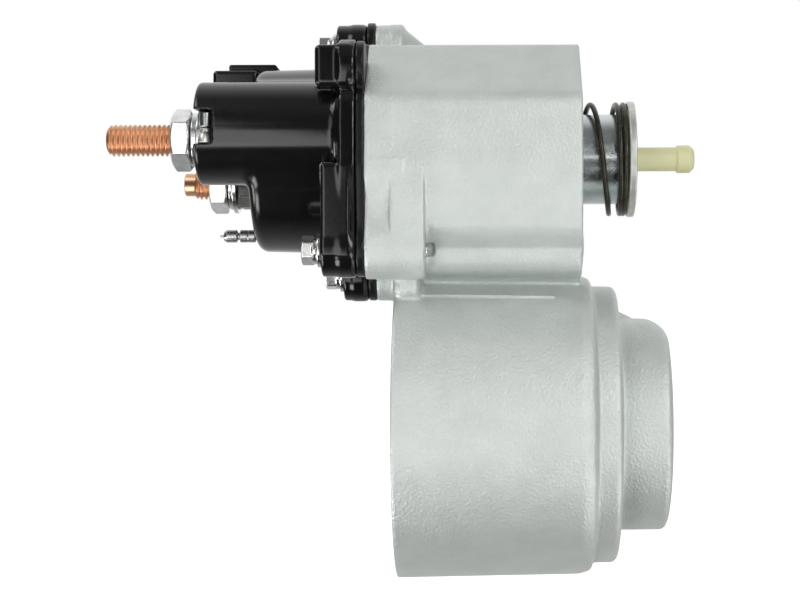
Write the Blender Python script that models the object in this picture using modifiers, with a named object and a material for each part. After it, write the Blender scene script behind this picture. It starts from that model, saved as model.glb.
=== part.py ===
"""Heavy-duty gear-reduction starter motor: cast housing with the motor and its planetary
reduction in the lower barrel, and the solenoid with its moulded terminal cover above.

Frame: metres, +Z up. The motor shaft runs along X, and the drive end (front) points to +X.
The near side is -Y. The origin is the centre of the output shaft's end face.
Sizes below are in millimetres. Places on the solenoid are (y, height above its axis).
"""

import math

import bmesh
import bpy
import numpy as np
from mathutils import Matrix

MM = 0.001  # one millimetre in scene units

# ---------------------------------------------------------------- driving dimensions
SOLENOID_Z = 85.2  # solenoid axis above the motor axis
MOTOR_AXIS = (0, 0)
SOLENOID_AXIS = (0, SOLENOID_Z)

BARREL_R, BARREL_FRONT_R = 48.8, 47.8
STEP_R, BOSS_R = 44.3, 34.0
RIM_X, BARREL_END_X, STEP_END_X = -86.7, -24.8, -16.9
BOSS_X = -1.2  # the front boss's front face
SOLENOID_FRONT_X = -28.8
FLANGE_X, GASKET_X = -94.8, -97.5  # rear faces of the housing flange and the gasket
FACE_GAP = 0.05  # on each side of the gasket

MOTOR_BORE_R = 44.0
MOTOR_FIT_R = MOTOR_BORE_R - 0.4  # parts that fill the motor's cavity
SOLENOID_BORE_R = 31.0
SOLENOID_FIT_R = SOLENOID_BORE_R - 0.3

# the flange's lobes: near low, far low, far high, near high
LOBES = {"a": (-30.2, -29.9), "b": (23.5, -37.1), "c": (20.0, 38.4), "d": (-30.8, 26.2)}
LOBE_R = 8.2
LOBE_BOSS_R = LOBE_R - 0.1
COVER_BOSS_X = {"a": -108.1, "b": -105.8, "c": -107.6, "d": -108.9}  # bosses' rear faces
BOLT_LOBES = ("a", "b", "c")
BOLT_TIP_X = {"a": -75.4, "b": -82.5, "c": -82.5}
TAP_END_X = {"a": -74.0, "b": -81.5, "c": -81.5}
TAP_R, BOLT_HOLE_R = 2.35, 2.8

BATTERY_STUD = (-20.0, 4.7)
MOTOR_STUD = (20.0, -6.5)
SIGNAL_PIN = (-5.0, -24.6)
BATTERY_TOWER = (-20.0, 6.7)  # a little above its stud

# ---------------------------------------------------------------- clean scene
for old in list(bpy.data.objects):
    bpy.data.objects.remove(old, do_unlink=True)

PARTS = bpy.data.collections.new("starter_motor")
HELPERS = bpy.data.collections.new("cutters")
bpy.context.scene.collection.children.link(PARTS)
bpy.context.scene.collection.children.link(HELPERS)


# ---------------------------------------------------------------- materials
def material(name, colour, metallic, roughness):
    mat = bpy.data.materials.new(name)
    mat.use_nodes = True
    shader = mat.node_tree.nodes["Principled BSDF"]
    shader.inputs["Base Color"].default_value = (*colour, 1.0)
    shader.inputs["Metallic"].default_value = metallic
    shader.inputs["Roughness"].default_value = roughness
    mat.diffuse_color = (*colour, 1.0)
    return mat


CAST = material("cast_aluminium", (0.62, 0.66, 0.65), metallic=0.4, roughness=0.55)
BLACK = material("black_moulding", (0.012, 0.014, 0.013), metallic=0.0, roughness=0.25)
RUBBER = material("black_rubber", (0.02, 0.02, 0.02), metallic=0.0, roughness=0.7)
COPPER = material("copper", (0.80, 0.42, 0.26), metallic=1.0, roughness=0.3)
ENAMEL = material("enamelled_wire", (0.55, 0.20, 0.07), metallic=0.6, roughness=0.35)
ZINC = material("zinc_plate", (0.70, 0.74, 0.74), metallic=1.0, roughness=0.28)
STEEL = material("machined_steel", (0.55, 0.56, 0.58), metallic=1.0, roughness=0.35)
SPRING = material("spring_steel", (0.10, 0.09, 0.08), metallic=1.0, roughness=0.4)
NYLON = material("nylon", (0.78, 0.78, 0.56), metallic=0.0, roughness=0.45)
BRONZE = material("bronze", (0.66, 0.47, 0.25), metallic=1.0, roughness=0.4)
FERRITE = material("ferrite", (0.09, 0.09, 0.10), metallic=0.1, roughness=0.6)
CARBON = material("carbon", (0.05, 0.045, 0.045), metallic=0.3, roughness=0.5)
LAMINATION = material("lamination", (0.30, 0.30, 0.31), metallic=0.9, roughness=0.5)
BOBBIN = material("bobbin_plastic", (0.35, 0.30, 0.24), metallic=0.0, roughness=0.5)


# ---------------------------------------------------------------- solids
def finish(name, solid, mat, at=MOTOR_AXIS, sharp_angle=35):
    """Weld and shade a bmesh as an object with its origin at y, z. No material: a helper."""
    bmesh.ops.remove_doubles(solid, verts=solid.verts, dist=1e-6)
    bmesh.ops.recalc_face_normals(solid, faces=solid.faces)
    mesh = bpy.data.meshes.new(name)
    solid.to_mesh(mesh)
    solid.free()
    mesh.shade_smooth()
    mesh.set_sharp_from_angle(angle=math.radians(sharp_angle))
    obj = bpy.data.objects.new(name, mesh)
    obj.location = (0, at[0] * MM, at[1] * MM)
    if mat is None:
        HELPERS.objects.link(obj)
        obj.hide_render = True
        obj.display_type = "WIRE"
    else:
        PARTS.objects.link(obj)
        mesh.materials.append(mat)
    return obj


def baked(tool):
    """The tool's evaluated mesh, with its modifiers or curve made real. The tool is removed."""
    HELPERS.objects.link(tool)
    bpy.context.view_layer.update()
    graph = bpy.context.evaluated_depsgraph_get()
    mesh = bpy.data.meshes.new_from_object(tool.evaluated_get(graph))
    solid = bmesh.new()
    solid.from_mesh(mesh)
    bpy.data.meshes.remove(mesh)
    bpy.data.objects.remove(tool, do_unlink=True)
    return solid


def cylinder(name, x0, x1, radius, at=MOTOR_AXIS, segments=32, end_radius=None, turn=0.0,
             mat=None):
    """A cylinder along X. end_radius tapers it towards x1, turn rotates its corners."""
    solid = bmesh.new()
    bmesh.ops.create_cone(
        solid, cap_ends=True, segments=segments, radius1=radius * MM,
        radius2=(radius if end_radius is None else end_radius) * MM, depth=(x1 - x0) * MM,
    )
    corners = Matrix.Rotation(math.radians(turn), 3, "Z")
    bmesh.ops.rotate(solid, verts=solid.verts, matrix=corners)
    bmesh.ops.rotate(solid, verts=solid.verts, matrix=Matrix.Rotation(math.pi / 2, 3, "Y"))
    bmesh.ops.translate(solid, verts=solid.verts, vec=((x0 + x1) / 2 * MM, 0, 0))
    return finish(name, solid, mat, at)


def box(name, x_span, y_span, z_span, mat=None):
    spans = (x_span, y_span, z_span)
    solid = bmesh.new()
    bmesh.ops.create_cube(solid, size=1.0)
    size = [(high - low) * MM for low, high in spans]
    bmesh.ops.scale(solid, verts=solid.verts, vec=size)
    centre = [(low + high) / 2 * MM for low, high in spans]
    bmesh.ops.translate(solid, verts=solid.verts, vec=centre)
    return finish(name, solid, mat)


def turned(name, profile, mat=None, at=MOTOR_AXIS, steps=24):
    """A turned piece. profile rows are x, radius: a loop, or open with both ends on the axis."""
    open_profile = profile[0][1] == 0 and profile[-1][1] == 0
    points = [(x * MM, 0.0, radius * MM) for x, radius in profile]
    edges = [(i, i + 1) for i in range(len(points) - 1)]
    if not open_profile:
        edges.append((len(points) - 1, 0))
    mesh = bpy.data.meshes.new(name + "_profile")
    mesh.from_pydata(points, edges, [])
    tool = bpy.data.objects.new(name + "_profile", mesh)
    screw = tool.modifiers.new("turn", "SCREW")
    screw.axis = "X"
    screw.steps = screw.render_steps = steps
    screw.use_merge_vertices = True
    screw.merge_threshold = 0.00001
    return finish(name, baked(tool), mat, at)


def ring(name, x0, x1, inner, outer, mat=None, at=MOTOR_AXIS, steps=24):
    """A plain turned ring."""
    profile = [(x0, inner), (x0, outer), (x1, outer), (x1, inner)]
    return turned(name, profile, mat, at, steps)


def add_spline(curve, points, cyclic):
    spline = curve.splines.new("POLY")
    spline.points.add(len(points) - 1)
    for target, point in zip(spline.points, points):
        target.co = (*[value * MM for value in point], 1)
    spline.use_cyclic_u = cyclic


def plate(name, loops, x0, x1, mat=None, at=MOTOR_AXIS):
    """A flat plate square to X. Its first loop of y, z is the outline, the rest are holes."""
    curve = bpy.data.curves.new(name + "_outline", "CURVE")
    curve.dimensions = "2D"
    curve.fill_mode = "BOTH"
    curve.extrude = (x1 - x0) / 2 * MM
    for loop in loops:
        add_spline(curve, [(y, z, 0) for y, z in loop], True)
    solid = baked(bpy.data.objects.new(name + "_outline", curve))
    upright = Matrix(((0, 0, 1), (1, 0, 0), (0, 1, 0)))  # the curve's x, y, z become Y, Z, X
    bmesh.ops.rotate(solid, verts=solid.verts, matrix=upright)
    bmesh.ops.translate(solid, verts=solid.verts, vec=((x0 + x1) / 2 * MM, 0, 0))
    return finish(name, solid, mat, at)


def coil(name, stations, radius, wire_radius, per_turn, at=MOTOR_AXIS, axis="X",
         bevel_resolution=0):
    """A coil spring. stations are turn number, place along the axis, joined by straight lead."""
    turns, places = zip(*stations)
    count = round((turns[-1] - turns[0]) * per_turn)
    points = []
    for k in range(count + 1):
        turn = turns[0] + (turns[-1] - turns[0]) * k / count
        along = float(np.interp(turn, turns, places))
        across, side = polar(radius, 2 * math.pi * turn)
        points.append((along, -side, across) if axis == "X" else (across, side, along))
    curve = bpy.data.curves.new(name + "_wire", "CURVE")
    curve.dimensions = "3D"
    curve.bevel_depth = wire_radius * MM
    curve.bevel_resolution = bevel_resolution
    curve.use_fill_caps = True
    add_spline(curve, points, False)
    solid = baked(bpy.data.objects.new(name + "_wire", curve))
    return finish(name, solid, SPRING, at, sharp_angle=60)


def boolean(obj, tools, operation):
    for tool in tools:
        mod = obj.modifiers.new(operation.lower(), "BOOLEAN")
        mod.operation = operation
        mod.solver = "EXACT"
        mod.object = tool


def cut(obj, *tools):
    boolean(obj, tools, "DIFFERENCE")


def join(obj, *tools):
    boolean(obj, tools, "UNION")


# ---------------------------------------------------------------- places and outlines
def on_solenoid(place):
    """A place on the solenoid as y, z."""
    return place[0], SOLENOID_Z + place[1]


def heights(low, high):
    """A span of heights above the solenoid axis as a span of z."""
    return SOLENOID_Z + low, SOLENOID_Z + high


def span(centre, half):
    return centre - half, centre + half


def polar(radius, angle):
    return radius * math.cos(angle), radius * math.sin(angle)


def circle(radius, count, y=0.0, z=0.0):
    corners = [polar(radius, 2 * math.pi * k / count) for k in range(count)]
    return [(y + dy, z + dz) for dy, dz in corners]


def repeated(count, pattern, phase=0.0):
    """A closed outline of one pattern repeated round the centre. Its rows are radius, angle."""
    return [
        polar(radius, phase + 2 * math.pi * k / count + angle)
        for k in range(count)
        for radius, angle in pattern
    ]


def arc_band(middle, half, inner, outer, steps):
    """A band between two radii, spreading half an angle each way from the middle one."""
    arc = [middle - half + 2 * half * k / steps for k in range(steps + 1)]
    return [polar(outer, a) for a in arc] + [polar(inner, a) for a in reversed(arc)]


def mirrored(near):
    """A closed outline from its near half."""
    return near + [(-y, z) for y, z in reversed(near)]


# ---------------------------------------------------------------- solenoid housing section
# near half of the section round the solenoid: y, height above its axis
SECTION = [
    (-14.5, 35.2), (-37.2, 16.5), (-38.4, -4.5), (-36.2, -24.5), (-29.5, -29.0), (-22.0, -33.0),
]
FLANGE_GROW = 0.3  # the flange beyond the section
FLANGE_RAYS = 60
SCALLOP_Y, SCALLOP_HEIGHTS = -34.6, (-21.5, -7.0)  # flat on the housing flange's near side


def body_section(grow=0.0):
    near = [(y - grow * 0.8, height + grow * (0.6 if height > 0 else -0.6))
            for y, height in SECTION]
    return mirrored(near)


def ray_polygon(angle, outline):
    """How far a ray from the centre runs before it leaves the outline."""
    ray_y, ray_z = polar(1.0, angle)
    reach = 0.0
    for (y0, z0), (y1, z1) in zip(outline, outline[1:] + outline[:1]):
        edge_y, edge_z = y1 - y0, z1 - z0
        cross = edge_y * ray_z - edge_z * ray_y
        if abs(cross) < 1e-9:
            continue
        distance = (edge_y * z0 - edge_z * y0) / cross
        share = (ray_y * z0 - ray_z * y0) / cross
        if distance > 0 and -1e-9 <= share <= 1 + 1e-9:
            reach = max(reach, distance)
    return reach


def ray_circle(angle, y, z, radius):
    """How far the ray runs before it leaves a circle, or 0 where it misses."""
    along = y * math.cos(angle) + z * math.sin(angle)
    miss_squared = y * y + z * z - along * along
    if miss_squared < radius * radius and along > 0:
        return along + math.sqrt(radius * radius - miss_squared)
    return 0.0


def drop_straight(outline, tolerance=0.04):
    """The outline without the points that lie on a straight run."""
    kept = list(outline)
    k = 0
    while k < len(kept):
        (y0, z0), (y1, z1), (y2, z2) = kept[k - 1], kept[k], kept[(k + 1) % len(kept)]
        length = math.hypot(y2 - y0, z2 - z0)
        if abs((y2 - y0) * (z1 - z0) - (z2 - z0) * (y1 - y0)) / length < tolerance:
            kept.pop(k)
            k = max(k - 1, 0)
        else:
            k += 1
    return kept


def flange_outline(lobes, scallop):
    """The grown section with round lobes, and with the near side's scallop if asked."""
    body = body_section(FLANGE_GROW)
    low, high = SCALLOP_HEIGHTS
    outline = []
    for k in range(FLANGE_RAYS):
        angle = 2 * math.pi * k / FLANGE_RAYS
        reaches = [ray_circle(angle, *LOBES[lobe], LOBE_R) for lobe in lobes]
        y, z = polar(max(ray_polygon(angle, body), *reaches), angle)
        if scallop and y < SCALLOP_Y and low < z < high:
            y, z = SCALLOP_Y, z * (SCALLOP_Y / y)
        outline.append((y, z))
    return drop_straight(outline)


COVER_FLANGE = flange_outline("abcd", scallop=False)
HOUSING_FLANGE = flange_outline("abc", scallop=True)


# ---------------------------------------------------------------- main housing
# near half of the web between the solenoid and the barrel: y, height above the solenoid axis
WEB = [(-27.6, -24.0), (-27.2, -37.0), (-25.2, -43.5), (-23.0, -52.0)]
RIB_R, RIB_Y, RIB_HEIGHT = 7.6, 21.2, -33.4
HOUSING_PROFILE = [
    (RIM_X, 0), (RIM_X, BARREL_R), (-30.0, BARREL_FRONT_R), (BARREL_END_X, 45.4),
    (BARREL_END_X, STEP_R), (-19.4, STEP_R), (STEP_END_X, 41.6), (STEP_END_X, BOSS_R),
    (BOSS_X - 3.4, BOSS_R), (BOSS_X, 30.4), (BOSS_X, 0),
]
# rear to front: snap ring's groove, gear seat, bush seat and seal seat
MOTOR_CAVITY = [
    (RIM_X - 1, 0), (RIM_X - 1, MOTOR_BORE_R), (-85.6, MOTOR_BORE_R), (-85.6, 45.4),
    (-84.1, 45.4), (-84.1, MOTOR_BORE_R), (-27.0, MOTOR_BORE_R), (-27.0, 40.3), (-18.7, 40.3),
    (-18.7, 29.0), (-15.7, 29.0), (-15.7, 17.25), (-6.5, 17.25), (-6.5, 20.1), (1.0, 20.1),
    (1.0, 0),
]
SOLENOID_CAVITY = [
    (FLANGE_X - 1, 0), (FLANGE_X - 1, SOLENOID_BORE_R), (-42.0, SOLENOID_BORE_R),
    (-42.0, 14.95), (-38.0, 14.95), (-38.0, 19.7), (SOLENOID_FRONT_X + 1, 19.7),
    (SOLENOID_FRONT_X + 1, 0),
]


def housing_ribs():
    """Round ribs along the web's sides, ending just short of the solenoid body's front."""
    return [
        cylinder("rib_" + side, -84.0, SOLENOID_FRONT_X - 0.04, RIB_R,
                 on_solenoid((y, RIB_HEIGHT)), segments=16)
        for side, y in (("near", -RIB_Y), ("far", RIB_Y))
    ]


def lobe_backing():
    """The metal in front of the flange's three bolt lobes."""
    place_a, place_b, place_c = (on_solenoid(LOBES[lobe]) for lobe in BOLT_LOBES)
    return [
        box("pad_a", (-86.9, -76.5), (-39.4, -26.0), heights(LOBES["a"][1], -3.4)),
        cylinder("pad_a_end", -86.7, -76.9, LOBE_R + 0.6, place_a, segments=16),
        box("foot_a", (-86.5, -78.0), (-28.6, -15.0), heights(-46.0, -34.0)),
        cylinder("boss_b", -86.8, -80.0, LOBE_BOSS_R, place_b, segments=16),
        cylinder("boss_c", -86.8, -79.4, LOBE_BOSS_R, place_c, segments=16, end_radius=3.2),
    ]


def make_housing():
    housing = turned("main_housing", HOUSING_PROFILE, CAST, steps=40)
    join(
        housing,
        plate("body_prism", [body_section()], -90.0, SOLENOID_FRONT_X, at=SOLENOID_AXIS),
        plate("flange_prism", [HOUSING_FLANGE], FLANGE_X, -86.4, at=SOLENOID_AXIS),
        plate("web_prism", [mirrored(WEB)], -84.8, SOLENOID_FRONT_X - 0.02, at=SOLENOID_AXIS),
        *housing_ribs(),
        *lobe_backing(),
        cylinder("boss_gusset", -18.5, -12.4, 6.0, (0, 30.9), segments=12, end_radius=3.4),
    )
    cut(
        housing,
        turned("motor_cavity", MOTOR_CAVITY, steps=28),
        turned("solenoid_cavity", SOLENOID_CAVITY, at=SOLENOID_AXIS, steps=24),
    )
    for lobe in BOLT_LOBES:
        place = on_solenoid(LOBES[lobe])
        cut(housing, cylinder("tap_" + lobe, FLANGE_X - 1, TAP_END_X[lobe], TAP_R, place, 8))


# ---------------------------------------------------------------- moulded terminal cover
COVER_X = -102.7  # rear face of the cover's flange
BOSS_ROOT_X = -98.6  # the bosses' front ends, inside the flange
CHAMBER_R, CHAMBER_X = 25.5, -112.5  # contact chamber and its rear wall
TOWER_R, MOUTH_R, STUD_BORE_R, SIGNAL_BORE_R = 16.0, 10.9, 5.35, 1.5
BORE_END_X = -111.0
DOME_PROFILE = [(-131.5, 0), (-131.5, 27.2), (-128.6, 29.5), (-100.0, 29.9), (-100.0, 0)]


def make_cover():
    cover = plate(
        "solenoid_cover", [COVER_FLANGE], COVER_X, GASKET_X - FACE_GAP, BLACK, SOLENOID_AXIS
    )
    join(cover, turned("cover_dome", DOME_PROFILE, at=(0, SOLENOID_Z - 0.4), steps=32))
    for lobe in BOLT_LOBES:
        join(cover, cylinder("cover_boss_" + lobe, COVER_BOSS_X[lobe], BOSS_ROOT_X, LOBE_BOSS_R,
                             on_solenoid(LOBES[lobe]), segments=16))
    join(
        cover,
        box("cover_boss_d", (COVER_BOSS_X["d"], BOSS_ROOT_X), (-37.4, -24.2),
            heights(19.6, 32.1)),
        box("cover_pad_a", (-108.05, -99.0), (-38.2, -24.0), heights(LOBES["a"][1], -3.7)),
        cylinder("battery_tower", -147.3, -100.5, TOWER_R, on_solenoid(BATTERY_TOWER)),
    )
    # the chamber, the mouth around the battery stud, the slot in its near wall, the bores
    battery, motor = on_solenoid(BATTERY_STUD), on_solenoid(MOTOR_STUD)
    chamber = [(CHAMBER_X, 0), (CHAMBER_X, CHAMBER_R), (-96.0, CHAMBER_R), (-96.0, 0)]
    cut(
        cover,
        turned("contact_chamber", chamber, at=SOLENOID_AXIS, steps=24),
        cylinder("battery_mouth", -149.5, -141.0, MOUTH_R, battery, segments=24),
        box("battery_slot", (-149.5, -140.3), (-45.0, BATTERY_STUD[0]), heights(2.5, 12.9)),
        cylinder("battery_bore", -149.0, BORE_END_X, STUD_BORE_R, battery, segments=16),
        cylinder("motor_bore", -133.0, BORE_END_X, STUD_BORE_R, motor, segments=16),
        cylinder("signal_bore", -133.0, BORE_END_X, SIGNAL_BORE_R, on_solenoid(SIGNAL_PIN), 8),
    )
    for lobe in BOLT_LOBES:
        place = on_solenoid(LOBES[lobe])
        cut(cover, cylinder("bolt_hole_" + lobe, -110.0, -96.0, BOLT_HOLE_R, place, 8))


def make_gasket():
    # its edge stands proud of the flange over the top bolt
    outline = [(y, z + 0.8 if z > 43 else z) for y, z in COVER_FLANGE]
    holes = [circle(BOLT_HOLE_R, 8, *LOBES[lobe]) for lobe in BOLT_LOBES]
    loops = [outline, circle(26.5, 28), *holes]
    plate("cover_gasket", loops, GASKET_X, FLANGE_X - FACE_GAP, RUBBER, SOLENOID_AXIS)


# ---------------------------------------------------------------- terminals
STUD_R = 4.95
NUT_CORNER_R, NUT_BORE_R = 9.81, 5.4  # the washers and the collar share the bore
STUD_HEAD = [(-112.2, STUD_R), (-112.2, 9.0), (-107.15, 9.0), (-107.15, 0)]  # x, radius
COLLAR_HALF = 7.9
CONNECTOR_Y = 9.0


def make_stud(kind, place, thread, trim, nut_x, nut_turn, nut_bore_x, washer):
    """A terminal stud with its nut and washer. thread and washer rows are x, radius."""
    at = on_solenoid(place)
    stud = turned(kind + "_terminal_stud", thread + STUD_HEAD, COPPER, at, steps=16)
    cut(stud, trim)
    nut = cylinder(kind + "_terminal_nut", *nut_x, NUT_CORNER_R, at, segments=6,
                   turn=nut_turn, mat=ZINC)
    cut(nut, cylinder(kind + "_nut_bore", *nut_bore_x, NUT_BORE_R, at, segments=12))
    turned(kind + "_terminal_washer", washer, ZINC, at, steps=16)


def make_studs():
    # the heads' outer sides are trimmed to just inside the contact chamber's wall
    trim = ring("head_trim", -112.4, -106.0, CHAMBER_R - 0.5, 60.0, at=SOLENOID_AXIS, steps=24)
    make_stud(
        "battery", BATTERY_STUD, [(-175.8, 0), (-175.8, 4.1), (-174.7, STUD_R)], trim,
        nut_x=(-155.3, -149.0), nut_turn=30, nut_bore_x=(-157, -148),
        washer=[
            (-148.7, NUT_BORE_R), (-148.7, 8.6), (-146.9, 8.6), (-146.9, 10.2),
            (-145.2, 10.2), (-145.2, 8.4), (-141.2, 8.4), (-141.2, NUT_BORE_R),
        ],
    )
    make_stud(
        "motor", MOTOR_STUD,
        [(-158.5, 0), (-158.5, 3.75), (-155.4, 3.75), (-154.9, 4.3), (-154.2, STUD_R)], trim,
        nut_x=(-149.9, -143.6), nut_turn=41, nut_bore_x=(-152, -142),
        washer=[
            (-143.3, NUT_BORE_R), (-143.3, 8.4), (-142.1, 8.4), (-142.1, 9.6),
            (-140.6, 9.6), (-140.6, NUT_BORE_R),
        ],
    )


def make_collar():
    """The square collar on the motor stud, with a tab on its near side."""
    y, z = on_solenoid(MOTOR_STUD)
    collar = box("motor_terminal_collar", (-140.3, -131.8), span(y, COLLAR_HALF),
                 span(z, COLLAR_HALF), STEEL)
    join(collar, box("collar_tab", (-139.8, -132.4), (y - 9.6, y - 7.0), (z - 4.3, z - 1.1)))
    cut(collar, cylinder("collar_bore", -141.5, -130.5, NUT_BORE_R, (y, z), segments=16))


def make_signal_terminal():
    turned(
        "signal_terminal",
        [
            (-143.3, 0), (-143.3, 0.3), (-142.0, 0.5), (-141.8, 1.7), (-141.2, 2.0),
            (-137.7, 2.0), (-137.4, 1.2), (-137.0, 1.2), (-136.8, 2.0), (-132.0, 2.0),
            (-131.8, 1.25), (-118.0, 1.25), (-118.0, 0),
        ],
        ZINC, on_solenoid(SIGNAL_PIN), steps=10,
    )


def make_connector():
    """The control connector's shell, open to the rear, and its flat pin."""
    shell = box("control_connector", (-146.6, -131.9), span(CONNECTOR_Y, 8.0),
                heights(13.4, 29.4), BLACK)
    join(shell, box("connector_latch", (-141.9, -124.9), span(CONNECTOR_Y, 4.5),
                    heights(29.0, 31.7)))
    cut(
        shell,
        box("connector_socket", (-148.0, -134.0), span(CONNECTOR_Y, 6.2), heights(15.2, 27.4)),
        box("connector_pin_slot", (-135.0, -131.0), span(CONNECTOR_Y, 3.4),
            heights(20.6, 22.0)),
    )
    box("connector_pin", (-144.5, -132.1), span(CONNECTOR_Y, 3.1), heights(20.9, 21.7), COPPER)


def make_bolts():
    for number, lobe in enumerate(BOLT_LOBES, 1):
        name = f"cover_bolt_{number}"
        at = on_solenoid(LOBES[lobe])
        tip = BOLT_TIP_X[lobe]
        face = COVER_BOSS_X[lobe] - 0.2  # underside of the bolt's flange
        profile = [
            (face - 2.7, 0), (face - 2.7, 4.3), (face - 1.2, 4.3), (face - 1.2, 5.3),
            (face, 5.3), (face, 2.1), (tip - 1.4, 2.1), (tip, 1.0), (tip, 0),
        ]
        bolt = turned(name, profile, ZINC, at, steps=12)
        join(bolt, cylinder(name + "_head", face - 6.1, face - 2.5, 4.62, at, segments=6,
                            turn=12 + 17 * number))


# ---------------------------------------------------------------- solenoid inside
BOBBIN_R = 28.1
WINDING_X = (-86.3, -48.6)
PLUNGER_R = 14.4


def make_solenoid_coil():
    """The sleeve, the front washer, the bobbin with its two windings, and the core."""
    ring("solenoid_flux_sleeve", -88.2, -42.5, 28.4, SOLENOID_FIT_R, STEEL, SOLENOID_AXIS)
    ring("front_pole_washer", -46.5, -42.4, 14.8, BOBBIN_R, STEEL, SOLENOID_AXIS)
    turned(
        "coil_bobbin",
        [
            (-88.1, 14.75), (-88.1, BOBBIN_R), (-86.6, BOBBIN_R), (-86.6, 16.0),
            (-48.3, 16.0), (-48.3, BOBBIN_R), (-46.8, BOBBIN_R), (-46.8, 14.75),
        ],
        BOBBIN, SOLENOID_AXIS, steps=24,
    )
    ring("pull_in_winding", *WINDING_X, 16.3, 21.8, ENAMEL, SOLENOID_AXIS)
    ring("hold_in_winding", *WINDING_X, 22.1, 27.4, ENAMEL, SOLENOID_AXIS)
    turned(
        "fixed_core",
        [
            (-94.0, 8.2), (-94.0, SOLENOID_FIT_R), (-88.5, SOLENOID_FIT_R), (-88.5, 14.4),
            (-73.6, 14.4), (-72.4, 13.2), (-72.4, 3.7), (-83.0, 3.7), (-83.0, 8.2),
        ],
        STEEL, SOLENOID_AXIS, steps=24,
    )


def make_plunger():
    """The plunger with its spring seat, the contact rod and disc, and the link rod."""
    turned(
        "plunger",
        [
            (-62.2, 2.6), (-62.2, 12.6), (-60.4, PLUNGER_R), (-13.7, PLUNGER_R), (-13.7, 9.6),
            (-49.8, 9.6), (-49.8, 6.0), (-54.0, 6.0), (-54.0, 2.6),
        ],
        ZINC, SOLENOID_AXIS, steps=24,
    )
    ring("spring_seat_disc", -13.4, -10.8, 4.3, 18.6, ZINC, SOLENOID_AXIS)
    turned(
        "contact_rod",
        [
            (-102.2, 0), (-102.2, 3.0), (-101.4, 4.4), (-99.3, 4.4), (-99.3, 3.1),
            (-86.0, 3.1), (-86.0, 6.4), (-83.8, 6.4), (-83.8, 2.3), (-53.7, 2.3),
            (-53.7, 5.6), (-50.4, 5.6), (-50.4, 0),
        ],
        BRONZE, SOLENOID_AXIS, steps=12,
    )
    ring("contact_disc", -99.0, -96.4, 3.4, 18.6, COPPER, SOLENOID_AXIS)
    turned(
        "link_rod",
        [
            (-48.4, 0), (-48.4, 8.2), (-46.0, 8.2), (-46.0, 3.87), (3.1, 3.87), (3.2, 4.5),
            (7.6, 4.5), (8.6, 3.7), (8.8, 2.6), (8.8, 0),
        ],
        NYLON, SOLENOID_AXIS, steps=16,
    )


def make_springs():
    # whole turns are at the top; half a turn on is the bottom, by way of the near side
    coil(
        "return_spring",
        [
            (-2.0, -37.2), (-1.0, -35.6), (0.0, -24.9), (0.5, -18.6), (1.0, -16.6),
            (1.5, -15.2), (2.0, -14.25), (2.5, -14.2),
        ],
        radius=17.5, wire_radius=0.72, per_turn=12, at=SOLENOID_AXIS, bevel_resolution=1,
    )
    coil(
        "engagement_spring", [(0.0, -44.8), (1.0, -42.6), (5.0, -17.0), (6.0, -14.8)],
        radius=6.7, wire_radius=0.85, per_turn=8, at=SOLENOID_AXIS,
    )
    coil(
        "contact_spring", [(0.0, -95.4), (0.75, -94.2), (3.25, -88.2), (4.0, -87.0)],
        radius=5.0, wire_radius=0.6, per_turn=8, at=SOLENOID_AXIS,
    )


# ---------------------------------------------------------------- planetary reduction
MODULE, SUN_TEETH, PLANET_TEETH = 1.25, 12, 18
RING_TEETH = SUN_TEETH + 2 * PLANET_TEETH
PRESSURE = math.radians(25.0)
ADDENDUM, DEDENDUM = 0.8, 1.05  # stub teeth, in modules
BACKLASH = 0.16  # taken off each flank pair of every gear
CARRIER_R = MODULE * (SUN_TEETH + PLANET_TEETH) / 2
PLANET_ANGLES = [math.radians(90 + 120 * k) for k in range(3)]
PIN_R = 3.35
SPLINES, SPLINE_GAP_R, SPLINE_CIRCLE_R = 8, 1.35, 9.7


def involute(base, radius):
    angle = math.acos(base / radius)
    return math.tan(angle) - angle


def gear_outline(teeth, phase=0.0, internal=False):
    """Closed outline of a stub-toothed gear. For an internal gear it is the opening."""
    pitch = MODULE * teeth / 2
    base = pitch * math.cos(PRESSURE)
    outward, inward = (DEDENDUM, ADDENDUM) if internal else (ADDENDUM, DEDENDUM)
    outer, inner = pitch + outward * MODULE, pitch - inward * MODULE
    thickness = math.pi * MODULE / 2 + (BACKLASH if internal else -BACKLASH)
    flank = []
    for radius in (inner, outer) if teeth > SUN_TEETH else (inner, pitch, outer):
        lean = involute(base, pitch) - involute(base, max(radius, base))
        flank.append((radius, thickness / (2 * pitch) + lean))
    tooth = [(radius, -angle) for radius, angle in flank] + flank[::-1]
    return repeated(teeth, tooth, phase)


def planet_phase(angle):
    """Turns a planet so that its teeth mesh with the sun's, whose phase is 0."""
    sun_pitches = angle * SUN_TEETH / (2 * math.pi)
    return angle + math.pi - (0.5 - sun_pitches) * 2 * math.pi / PLANET_TEETH


def ring_phase():
    """Turns the ring gear so that it meshes with the first planet."""
    angle = PLANET_ANGLES[0]
    planet_pitches = (angle - planet_phase(angle)) * PLANET_TEETH / (2 * math.pi)
    return angle - planet_pitches * 2 * math.pi / RING_TEETH


def make_gears():
    plate("sun_gear", [gear_outline(SUN_TEETH), circle(4.5, 12)], -33.4, -22.6, STEEL)
    for number, angle in enumerate(PLANET_ANGLES, 1):
        loops = [gear_outline(PLANET_TEETH, planet_phase(angle)), circle(PIN_R + 0.4, 12)]
        plate(f"planet_gear_{number}", loops, -33.2, -22.8, STEEL, polar(CARRIER_R, angle))
    ring_gear = turned(
        "ring_gear",
        [
            (-34.6, 0), (-34.6, MOTOR_FIT_R), (-27.4, MOTOR_FIT_R), (-27.4, 40.0),
            (-19.2, 40.0), (-19.2, 0),
        ],
        STEEL, steps=28,
    )
    opening = gear_outline(RING_TEETH, ring_phase(), internal=True)
    cut(ring_gear, plate("ring_opening", [opening], -36.0, -18.0))


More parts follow.
